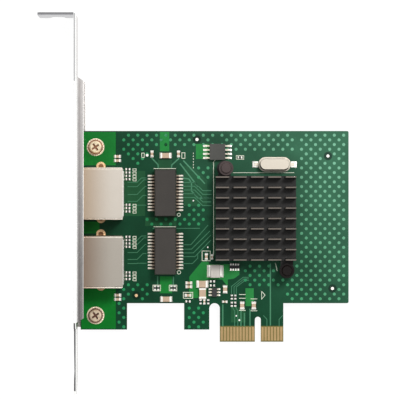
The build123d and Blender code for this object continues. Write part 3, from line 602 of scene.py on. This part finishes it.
ink_paths = [
    # Beside and above the controller, and along the upper ends of both magnetics modules
    [(-14.14, 57.6), (-14.14, 27.4)],
    [(-7.94, 54.03), (11.65, 54.03)],
    [(-14.14, 57.6), (-13.2, 58.4)],
    [(-33.3, 55.35), (-26.2, 55.35)],
    [(-33.3, 36.75), (-26.2, 36.75)],
    # A stroke by the lower push pin, a box by the heat sink and a pointer above the contacts
    [(5.6, 25.2), (6.2, 22.6)],
    [(-17.8, 29.0), (-15.2, 29.0), (-15.2, 25.9), (-17.8, 25.9), (-17.8, 29.0)],
    [(1.2, 16.2), (1.2, 13.6), (2.3, 14.9), (1.2, 16.2)],
    # Rings by the lowest right leads of the magnetics, then boxes and strokes at the chip parts
    ink_ring(-25.2, 22.2, 0.55), ink_ring(-25.26, 40.58, 0.5),
    ink_box(-24.3, -23.3, 58.6, 60.4), ink_box(-37.1, -36.3, 58.9, 60.3),
    ink_box(-6.9, -4.5, 58.3, 59.5), ink_box(-23.8, -20.8, 13.9, 15.8),
    [(-6.0, 15.1), (-3.9, 15.1)], [(-6.0, 13.9), (-3.9, 13.9)], [(-6.0, 10.0), (-3.9, 10.0)],
    [(-2.3, 13.7), (-0.2, 13.7)], [(-2.3, 9.9), (-0.2, 9.9)],
    ink_box(-28.3, -25.9, 16.3, 18.1), ink_box(-33.5, -31.1, 16.3, 18.1),
]
ink_paths += [[(-20.6, y), (-20.6, y - 0.45)] for y in (60.4, 59.5, 58.6, 57.7, 56.8, 55.9)]
# Stacks of small boxes behind each jack: the height of the lowest one and how many there are
lower_port = -21.6
box_pitch = 1.06
for shift in (0, lower_port):
    for start, count in ((51.4, 4), (41.1, 3)):
        for row in range(count):
            y = start + shift + box_pitch * row
            ink_paths.append(ink_box(-39.9, -38.9, y, y + 0.7))
ink = grained_finish("white_ink", paint(214, 220, 200), (0.08, 400, 0.1, 6000), 0.01, Roughness=0.6)
join_all([flat_run(path, ink_width, face - ink_rise, face + ink_rise) for path in ink_paths])
printed_lines = complete("printed_lines", ink)
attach(printed_lines, "root")

# ---- Solder of the surface-mounted parts ---------------------------------------------------------
# Each lead and end cap stands on a tinned pad that the lacquer leaves open. Solder has set round its
# foot as a fillet that slopes down to the end of the pad.

pad_thickness = 0.05 * mm
pad_middle = 0.012 * mm
fillet_toe = 0.05 * mm
tin = grained_finish("tinned_copper", paint(246, 243, 236), (0.06, 500, 0.06, 4000), 0.02,
                     Metallic=0.55, Roughness=0.36)


def solids_of(node):
    """The boxes of the separate solids in a node, from the triangles that share points."""
    mesh = solids[node].data
    keys = [tuple(round(value, 6) for value in point.co) for point in mesh.vertices]
    group_of = {}
    members = {}
    for triangle in mesh.polygons:
        touched = {group_of[keys[index]] for index in triangle.vertices if keys[index] in group_of}
        points = {keys[index] for index in triangle.vertices}
        target = min(touched) if touched else len(members)
        while target in members and target not in touched:
            target += 1
        for other in touched - {target}:
            points |= members.pop(other)
        members.setdefault(target, set()).update(points)
        for key in points:
            group_of[key] = target
    boxes = []
    for points in members.values():
        low = Vector([min(point[axis] for point in points) for axis in range(3)])
        high = Vector([max(point[axis] for point in points) for axis in range(3)])
        boxes.append((low, high))
    return boxes


def box_at(middle, size):
    """A plain box of a given size about its middle."""
    clear_selection()
    bpy.ops.mesh.primitive_cube_add(size=1, location=middle, scale=size)
    return bpy.context.object


def solder_wedge(low, high, outward, reach, side, climb):
    """A fillet of solder from the foot of a terminal out along its pad, sloping down to the board."""
    axis = 0 if outward.x else 1
    centre = (low + high) / 2
    size = Vector((high.x - low.x + 2 * side, high.y - low.y + 2 * side, climb))
    centre[axis] = (high[axis] if outward[axis] > 0 else low[axis]) + outward[axis] * reach / 2
    centre.z = face + climb / 2
    size[axis] = reach
    wedge = box_at(centre, size)
    bpy.ops.object.transform_apply(location=True, rotation=False, scale=True)
    for point in wedge.data.vertices:
        if point.co.z > centre.z and (point.co[axis] - centre[axis]) * outward[axis] > 0:
            point.co.z = face + fillet_toe
    return wedge


# Node of the terminals, node of the bodies and the axis that the terminals point along (None where
# the parts lie both ways). Then the foot that lies on the pad, the reach beyond it, the margin at
# the sides and the climb of the solder, in millimetres
terminals = (
    ("resistor_ends", "resistor_bodies", None, 0.2, 0.26, 0.05, 0.26),
    ("capacitor_ends", "capacitor_bodies", None, 0.25, 0.34, 0.06, 0.4),
    ("resistor_array_ends", "resistor_array_body", 1, 0.25, 0.4, 0.03, 0.25),
    ("magnetics_1_leads", "magnetics_1_body", 0, 1.1, 0.2, 0.05, 0.18),
    ("magnetics_2_leads", "magnetics_2_body", 0, 1.1, 0.2, 0.05, 0.18),
    ("memory_chip_leads", "memory_chip_body", 0, 0.75, 0.65, 0.12, 0.18),
    ("regulator_leads", "regulator_body", 0, 0.35, 0.4, 0.06, 0.16),
    ("crystal_leads", "crystal_base", 0, 1.1, 0.7, 0.5, 0.12),
    ("inductor_terminals", "inductor_core", 0, 0.5, 0.6, 0.3, 0.6),
)
solder = []
for ends_node, bodies_node, axis, foot, reach, side, climb in terminals:
    bodies = [(low + high) / 2 for low, high in solids_of(bodies_node)]
    for low, high in solids_of(ends_node):
        middle = (low + high) / 2
        away = middle - min(bodies, key=lambda spot: (spot - middle).length)
        pointing = axis if axis is not None else (0 if abs(away.x) > abs(away.y) else 1)
        outward = Vector((0, 0, 0))
        outward[pointing] = math.copysign(1, away[pointing])
        solder.append(solder_wedge(low, high, outward, reach * mm, side * mm, climb * mm))
        toe = (high if outward[pointing] > 0 else low)[pointing]
        size = high - low + Vector((2 * side * mm, 2 * side * mm, 0))
        size[pointing] = (foot + reach) * mm
        size.z = pad_thickness
        middle[pointing] = toe + outward[pointing] * (reach - foot) / 2 * mm
        middle.z = face + pad_middle
        solder.append(box_at(middle, size))
join_all(solder)
chip_solder = complete("chip_solder", tin)
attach(chip_solder, "root")

# ---- Sight marks and vias ------------------------------------------------------------------------
# Four round marks, each in a clearing of the copper, from which the placing machine takes its
# bearings, and five vias that the lacquer leaves open. All are flat and tinned, apart from one mark
# that is stained tan.

mark_radius = 0.5
clearing_radius = 1.35
bare_rise = 0.03 * mm
clean_places = ((-19.44, 64.63), (22.41, 59.36), (23.85, 17.03))
stained_place = (-38.83, 14.79)
# Place and radius of each via
vias = ((-35.35, 59.6, 0.45), (-16.0, 30.2, 0.25), (-20.6, 45.1, 0.25), (-5.9, 6.9, 0.3), (-6.9, 8.3, 0.25))


def round_plate(x, y, radius, low, high, sides=20):
    """A flat disc between two heights, with its place and radius in millimetres."""
    clear_selection()
    bpy.ops.mesh.primitive_cylinder_add(vertices=sides, radius=radius * mm, depth=high - low,
                                        location=(x * mm, y * mm, (low + high) / 2))
    return bpy.context.object


clearing_finish = lacquer("bare_clearing", paint(8, 40, 26), paint(36, 62, 50))[0]
join_all([
    round_plate(x, y, clearing_radius, face - copper_rise, face + copper_rise / 2)
    for x, y in (*clean_places, stained_place)
])
sight_clearings = complete("sight_clearings", clearing_finish)
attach(sight_clearings, "root")
marks = [round_plate(x, y, mark_radius, face - copper_rise, face + bare_rise) for x, y in clean_places]
marks += [round_plate(x, y, radius, face - copper_rise, face + bare_rise, 12) for x, y, radius in vias]
join_all(marks)
sight_marks = complete("sight_marks", tin)
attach(sight_marks, "root")
ring_copper = grained_finish("leg_ring_copper", paint(218, 182, 140), (0.15, 600, 0.1, 3000), 0.02,
                             Metallic=0.7, Roughness=0.35)
round_plate(*stained_place, mark_radius, face - copper_rise, face + bare_rise)
stained_mark = complete("stained_mark", ring_copper)
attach(stained_mark, "root")

# ---- Legs of the jacks ---------------------------------------------------------------------------
# Each leg of a jack passes through a hole with a tan ring on the board. Solder closes the hole,
# stained by flux on the face of the board, and stands as a cone on the back.

leg_x = -50.13
leg_rows = (56.02, 39.42, 34.42, 17.82)
ring_radius = 1.5
fill_radius = 0.82
fill_depth = 0.4 * mm
fill_rise = 0.036 * mm
cone_base = 1.35 * mm
cone_tip = 0.55 * mm
cone_height = 0.8 * mm
join_all([round_plate(leg_x, y, ring_radius, face - copper_rise, face + bare_rise) for y in leg_rows])
leg_rings = complete("leg_rings", ring_copper)
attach(leg_rings, "root")
flux = grained_finish("flux_stained_solder", paint(120, 82, 50), (0.2, 700, 0.1, 3000), 0.02,
                      Metallic=0.5, Roughness=0.4)
join_all([round_plate(leg_x, y, fill_radius, face - fill_depth, face + fill_rise) for y in leg_rows])
leg_flux = complete("leg_flux", flux)
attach(leg_flux, "root")
cones = []
for y in leg_rows:
    clear_selection()
    bpy.ops.mesh.primitive_cone_add(vertices=20, radius1=cone_base, radius2=cone_tip, depth=cone_height,
                                    location=(leg_x * mm, y * mm, back - cone_height / 2),
                                    rotation=(math.pi, 0, 0))
    cones.append(bpy.context.object)
join_all(cones)
leg_solder = complete("leg_solder", tin, 50)
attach(leg_solder, "root")

# ---- Edge contacts -------------------------------------------------------------------------------
# Hard gold over nickel on copper, along both faces of the tongue. It is plated, and then rubbed
# dull by the first fitting.

gold = grained_finish("contact_gold", paint(189, 159, 114), (0.06, 300, 0.05, 3000), 0.01,
                      Metallic=1.0, Roughness=0.34)
dress("edge_contacts", gold)

# ---- Bracket -------------------------------------------------------------------------------------
# One folded sheet of zinc-plated steel. Rolling and plating leave a fine grain along its length. A pale
# highlight is painted at the bend and at the edge of the lip, which are also less metallic there, and
# shade is painted beside the bend, along the edge of the plate and on the flange.

plate_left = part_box("jack_1_shield")[0].x / mm - 0.05
lip_depth = 3.2
flange_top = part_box("bracket")[1].y / mm
# How metallic the plate is under its painted highlight
highlight_metal = 0.45

# Rolled grain: fine streaks along one direction, as a mask from 0 to 1
rolled, given, wanted = new_group(
    "rolled_grain",
    (("Stretch", "NodeSocketVector", (1, 1, 1)), ("Scale", "NodeSocketFloat", 900)),
    (("Mask", "NodeSocketFloat"),),
)
spot = place(rolled, "ShaderNodeTexCoord").outputs["Object"]
drawn = place(rolled, "ShaderNodeVectorMath", {0: spot, 1: given["Stretch"]}, operation="MULTIPLY")
drawn = drawn.outputs[0]
streaks = place(rolled, "ShaderNodeTexNoise", {"Vector": drawn, "Scale": given["Scale"], "Detail": 4.0})
rolled.links.new(streaks.outputs[0], wanted["Mask"])

# Sprung sheet: the height of a sheet that leans and bows a little about a centre
sprung, given, wanted = new_group(
    "sprung_sheet",
    (
        ("Centre", "NodeSocketVector", (0, 0, 0)),
        ("Lean", "NodeSocketVector", (0, 0, 0)),
        ("Bow", "NodeSocketVector", (0, 0, 0)),
    ),
    (("Height", "NodeSocketFloat"),),
)
spot = place(sprung, "ShaderNodeTexCoord").outputs["Object"]
offset = place(sprung, "ShaderNodeVectorMath", {0: spot, 1: given["Centre"]}, operation="SUBTRACT")
offset = offset.outputs[0]
squared = place(sprung, "ShaderNodeVectorMath", {0: offset, 1: offset}, operation="MULTIPLY").outputs[0]
leaning = place(sprung, "ShaderNodeVectorMath", {0: offset, 1: given["Lean"]}, operation="DOT_PRODUCT")
bowing = place(sprung, "ShaderNodeVectorMath", {0: squared, 1: given["Bow"]}, operation="DOT_PRODUCT")
height = calculate(sprung, "SUBTRACT", leaning.outputs["Value"], bowing.outputs["Value"])
sprung.links.new(height, wanted["Height"])


def sheet_metal(name, color, roughness, stretch, scale=900, drift=0.04, spread=0.05, metallic=1.0):
    """Plated metal with rolled grain. Its colour is a constant, or a function that mixes it."""
    finish, tree, shader = new_finish(name, Metallic=metallic)
    plate = use_mottle(tree, color(tree) if callable(color) else color, drift, 90, 0.03, 3500)
    tree.links.new(plate["Color"], shader.inputs["Base Color"])
    grain = place(tree, "ShaderNodeGroup", {"Stretch": stretch, "Scale": scale}, node_tree=rolled)
    rough = ramp(tree, grain.outputs["Mask"], 0.3, 0.7, roughness - spread, roughness + spread)
    tree.links.new(rough, shader.inputs["Roughness"])
    return finish, tree, shader


def spring_sheet(tree, centre, lean=(0, 0, 0), bow=(0, 0, 0)):
    """The normal of a sheet that leans and bows: its centre in millimetres, slopes, and slopes a metre."""
    form = place(tree, "ShaderNodeGroup", {
        "Centre": Vector(centre) * mm, "Lean": lean, "Bow": Vector(bow) / 2,
    }, node_tree=sprung)
    height = form.outputs["Height"]
    bump = place(tree, "ShaderNodeBump", {"Height": height, "Distance": 1.0, "Strength": 1.0})
    return bump.outputs[0]


def facing_front(tree, start, end):
    """A mask of the faces that look up or down, from 0 at one slant to 1 at another."""
    return ramp(tree, calculate(tree, "ABSOLUTE", normal_axes(tree)["Z"]), start, end)


def across(tree, start, end):
    """A mask from 0 to 1 between two distances from the left side of the plate, in millimetres."""
    way = 1 if end > start else -1
    return use_fade(tree, (way, 0, 0), way * (plate_left + start), way * (plate_left + end))


def highlit_edges(tree):
    """A mask of the bend and the edge of the lip, where a pale highlight is painted and the metal is less
    metallic.
    """
    bend = across(tree, 1.8, 0.75)
    lip_edge = across(tree, lip_depth - 0.2, lip_depth - 0.12)
    return both(tree, calculate(tree, "MAXIMUM", bend, lip_edge), facing_front(tree, 0.1, 0.4))


def zinc_tone(tree):
    """Grey zinc with painted light: shade beside the bend, a highlight at the bend and lip edge, a shade
    line along the plate edge, shade on the flange.
    """
    lip_shade = both(tree, across(tree, 2.8, 1.8), facing_front(tree, 0.5, 0.9))
    tone = blend(tree, lip_shade, paint(208, 204, 202), paint(184, 179, 177))
    # Painted highlight at the bend and the edge of the lip, dimmer towards the bottom
    highlight = blend(tree, use_fade(tree, (0, 1, 0), 5, 60), paint(150, 148, 146), paint(255, 252, 248))
    highlight = blend(tree, across(tree, 1.9, 1.8), highlight, paint(252, 252, 250))
    tone = blend(tree, highlit_edges(tree), tone, highlight)
    # Painted shade: a dark line along the top of the plate's edge, darker towards the bottom
    edge_shade = both(tree, across(tree, 0.02, 0.14), across(tree, 0.6, 0.48))
    edge_shade = both(tree, edge_shade, facing_front(tree, 0.9, 0.98))
    edge_shade_tone = blend(tree, use_fade(tree, (0, 1, 0), 0, 80), paint(66, 66, 67), paint(182, 182, 183))
    tone = blend(tree, edge_shade, tone, edge_shade_tone)
    # Painted shade on the flange, darker towards its top end
    to_end = use_fade(tree, (0, 1, 0), flange_top - 1.2, flange_top - 0.13)
    flange_shade = blend(tree, to_end, paint(184, 184, 187), paint(112, 112, 114))
    at_top = use_fade(tree, (0, 1, 0), flange_top - 1.5, flange_top - 1.3)
    flange = both(tree, across(tree, 0.1, -0.1), at_top)
    inner = ramp(tree, normal_axes(tree)["Y"], 0.5, 0.8, 1, 0)
    return blend(tree, both(tree, flange, inner), tone, flange_shade)


zinc, tree, shader = sheet_metal("zinc_plate", zinc_tone, 0.26, (1, 0.4, 1), 1400, 0.05, 0.02)
# Under the painted highlight the plate is less metallic and has no bow
highlit = highlit_edges(tree)
tree.links.new(ramp(tree, highlit, 0, 1, 1.0, highlight_metal), shader.inputs["Metallic"])
normal = place(tree, "ShaderNodeMix", {
    "Factor": highlit, 4: spring_sheet(tree, (-57, 62, 0), bow=(0, 1.5, 0)),
    5: place(tree, "ShaderNodeNewGeometry").outputs["Normal"],
}, data_type="VECTOR")
tree.links.new(normal.outputs[1], shader.inputs["Normal"])
dress("bracket", zinc)

# ---- Bracket screws and their rings --------------------------------------------------------------
# Two pan-head screws, zinc-plated with a yellow passivate, brown down in the recess, on tinned
# rings, with the lower screw painted darker as painted shade. A circle of solder beads closes the
# holes that join each ring to the ground plane.

screw_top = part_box("bracket_screws")[1].z / mm
bead_circle = 2.52 * mm
bead_radius = 0.26 * mm
bead_count = 20


def screw_tone(tree):
    """Pale yellow, brown down in the recess, and both darker on the lower screw as painted shade."""
    lower_shade = use_fade(tree, (0, -1, 0), -40, -20)
    head = blend(tree, lower_shade, paint(250, 232, 196), paint(226, 206, 178))
    deep = blend(tree, lower_shade, paint(158, 112, 84), paint(112, 76, 62))
    recess = use_fade(tree, (0, 0, -1), -screw_top + 0.15, -screw_top + 0.4)
    return blend(tree, recess, head, deep)


yellow_zinc = sheet_metal("yellow_zinc", screw_tone, 0.3, (1, 1, 1), 1500, 0.12, metallic=0.65)[0]
dress("bracket_screws", yellow_zinc)
ring_tin = sheet_metal("ring_tin", paint(250, 234, 208), 0.34, (1, 1, 1), 1500, 0.1, metallic=0.55)[0]
dress("ring_pads", ring_tin)
clear_selection()
bpy.ops.mesh.primitive_ico_sphere_add(subdivisions=2, radius=bead_radius)
first_bead = bpy.context.object
beads = []
for low, high in solids_of("ring_pads"):
    centre = (low + high) / 2
    for number in range(bead_count):
        turn = math.tau * number / bead_count
        spoke = Vector((math.cos(turn), math.sin(turn), 0))
        beads.append(copy_to(first_bead, centre + spoke * bead_circle))
bpy.data.objects.remove(first_bead)
join_all(beads)
ring_beads = complete("ring_beads", ring_tin)
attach(ring_beads, "root")

# ---- Jacks ---------------------------------------------------------------------------------------
# Each jack is a moulded black block in a folded can of tinned brass, with eight gold wires, two
# light pipes and two legs that are soldered into the board.

shield_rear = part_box("jack_1_shield")[1].x / mm
shield_centre = (-50, 36.5, 0)


def shield_tone(near, far):
    """A tone for a can: tan by the bracket with a painted sheen paler towards the rear, and a painted
    highlight at the rear fold.
    """
    def tone(tree):
        sheen_tone = blend(tree, use_fade(tree, (1, 0, 0), -57, -45), near, far)
        rear_highlight = use_fade(tree, (1, 0, 0), shield_rear - 0.4, shield_rear - 0.25)
        return blend(tree, both(tree, rear_highlight, facing_front(tree, 0.3, 0.5)), sheen_tone, paint(255, 253, 246))
    return tone


black_nylon = grained_finish("black_nylon", paint(28, 28, 29), (0.1, 200, 0.08, 4000), 0.01, Roughness=0.5)
clear_pipe, tree, shader = new_finish("clear_pipe", Roughness=0.18, Transmission_Weight=0.75, IOR=1.49)
cloudy = use_mottle(tree, paint(232, 236, 228), 0.03, 200, 0.02, 3000)
tree.links.new(cloudy["Color"], shader.inputs["Base Color"])
# Number of a jack, the colours of its can by the bracket and at the rear, and how its sheet leans. The
# lower jack's colours are darker, as painted shade.
for number, tan, beige, lean in (
    (1, paint(209, 185, 158), paint(244, 234, 221), (0.0, -0.01, 0)),
    (2, paint(185, 160, 139), paint(234, 225, 211), (0.0, 0.02, 0)),
):
    tone = shield_tone(tan, beige)
    shield, tree, shader = sheet_metal(f"tinned_brass_{number}", tone, 0.24, (0.3, 1, 1), 2500, 0.02, 0.008)
    tree.links.new(spring_sheet(tree, shield_centre, lean=lean), shader.inputs["Normal"])
    dress(f"jack_{number}_shield", shield)
    dress(f"jack_{number}_housing", black_nylon)
    dress(f"jack_{number}_contacts", gold)
    dress(f"jack_{number}_lights", clear_pipe)
dress("jack_solder_joints", tin)

# ---- Magnetics -----------------------------------------------------------------------------------
# Moulded transformer modules in warm black epoxy, with tinned gull-wing leads down both sides.
# A dark strip on the board beside each module, under its leads, is a painted shadow, and the leads
# are painted browner towards the body, as painted shade.

shadow_reach = 1.25 * mm
lead_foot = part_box("magnetics_1_leads")[0].z / mm


def moulded_epoxy(name, color, roughness=0.55, shine=0.3):
    """Filled epoxy with a fine matt surface."""
    return grained_finish(name, color, (0.1, 180, 0.12, 7000), 0.015,
                          Roughness=roughness, Specular_IOR_Level=shine)


def lead_shade_tone(tree):
    """Bright tin at the feet, painted browner as painted shade where the lead climbs to the body."""
    climb = use_fade(tree, (0, 0, 1), lead_foot + 0.2, lead_foot + 1.0)
    return blend(tree, climb, paint(244, 236, 220), paint(150, 132, 116))


warm_epoxy = moulded_epoxy("warm_black_epoxy", paint(50, 46, 42))
shaded_lead_tin = sheet_metal("shaded_lead_tin", lead_shade_tone, 0.3, (1, 1, 1), 1500, metallic=0.75)[0]
# Painted shadow: a dark strip on the board beside each module, under its leads
shadow_strips = []
for number in (1, 2):
    dress(f"magnetics_{number}_body", warm_epoxy)
    dress(f"magnetics_{number}_leads", shaded_lead_tin)
    body_low, body_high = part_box(f"magnetics_{number}_body")
    leads_low, leads_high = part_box(f"magnetics_{number}_leads")
    for start, end in ((body_low.x - shadow_reach, body_low.x), (body_high.x, body_high.x + shadow_reach)):
        corners = ((start, leads_low.y), (end, leads_low.y), (end, leads_high.y), (start, leads_high.y))
        corners = [(x / mm, y / mm) for x, y in corners]
        shadow_strips.append(flat_area(corners, face - copper_rise, face + copper_rise / 2))
join_all(shadow_strips)
lead_shadow_strips = complete("lead_shadow_strips", moulded_epoxy("painted_lead_shadow", paint(34, 30, 24), 0.6))
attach(lead_shadow_strips, "root")

# ---- Controller ----------------------------------------------------------------------------------
# A chip on a green substrate under a nickel-plated lid. A soft grey pad on the lid carries its heat
# to the heat sink.

dress("controller_substrate", lacquer("substrate_lacquer", paint(20, 84, 52), paint(24, 92, 60))[0])
dress("controller_lid", sheet_metal("lid_nickel", paint(188, 188, 186), 0.35, (1, 0.2, 1))[0])
dress("thermal_pad", moulded_epoxy("soft_grey_pad", paint(128, 132, 136), 0.8))

# ---- Heat sink and its pins ----------------------------------------------------------------------
# A pin-fin heat sink, extruded and cross-cut, in black anodised aluminium, with a painted highlight on the
# tips.
# Two nylon pins hold it through its ears and the board, each with a wire spring.

sink_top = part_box("heat_sink")[1].z / mm


def anodised_tone(tree):
    """Black dye, with a grey painted highlight on the tips of the fins."""
    tip_highlight = use_fade(tree, (0, 0, 1), sink_top - 0.08, sink_top - 0.02)
    return blend(tree, tip_highlight, paint(13, 10, 7), paint(98, 90, 82))


anodised = grained_finish("black_anodised", anodised_tone, (0.12, 120, 0.08, 3000), 0.012,
                          Roughness=0.38, Specular_IOR_Level=0.35)
dress("heat_sink", anodised)
spring_finish = sheet_metal("spring_wire", paint(196, 194, 190), 0.25, (1, 1, 1), 1500)[0]
for number, tone in ((1, paint(70, 60, 59)), (2, paint(15, 7, 6))):
    dress(f"push_pin_{number}", moulded_epoxy(f"pin_nylon_{number}", tone, 0.4, 0.15))
    dress(f"push_pin_spring_{number}", spring_finish)

# ---- Crystal -------------------------------------------------------------------------------------
# A drawn nickel can, welded to its base, on a black plastic seat with tinned leads. The low rim
# round the can is duller than the rest.

can_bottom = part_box("crystal_can")[0].z / mm
rim_metal = 0.3
nickel = paint(209, 200, 186)
can_finish, tree, shader = sheet_metal("can_nickel", nickel, 0.34, (1, 1, 1), 2500, 0.02, 0.01)
rim = use_fade(tree, (0, 0, -1), -can_bottom - 0.5, -can_bottom - 0.4)
tree.links.new(ramp(tree, rim, 0, 1, 1.0, rim_metal), shader.inputs["Metallic"])
lead_tin = sheet_metal("lead_tin", paint(240, 230, 212), 0.3, (1, 1, 1), 1500, metallic=0.75)[0]
dress("crystal_can", can_finish)
dress("crystal_base", black_nylon)
dress("crystal_leads", lead_tin)

# ---- Small chips ---------------------------------------------------------------------------------
# The memory chip and the regulator, moulded in cooler black epoxy than the magnetics. Their leads
# are tinned and soldered to pads on the face of the board.

dress("memory_chip_body", moulded_epoxy("grey_black_epoxy", paint(68, 68, 64)))
dress("memory_chip_leads", lead_tin)
dress("regulator_body", moulded_epoxy("black_epoxy", paint(48, 47, 47)))
dress("regulator_leads", lead_tin)

# ---- Inductor and chip parts ---------------------------------------------------------------------
# A shielded ferrite inductor, ceramic capacitors, and thick-film resistors with black glass on top.
# All have tinned ends, which are soldered to their pads.

black_glass = moulded_epoxy("black_glass", paint(38, 36, 38), 0.3)
dress("inductor_core", moulded_epoxy("ferrite_paint", paint(184, 179, 171), 0.45))
dress("capacitor_bodies", moulded_epoxy("tan_ceramic", paint(184, 160, 136), 0.45))
dress("resistor_bodies", black_glass)
dress("resistor_array_body", black_glass)
for ends in ("inductor_terminals", "capacitor_ends", "resistor_ends", "resistor_array_ends"):
    dress(ends, tin)
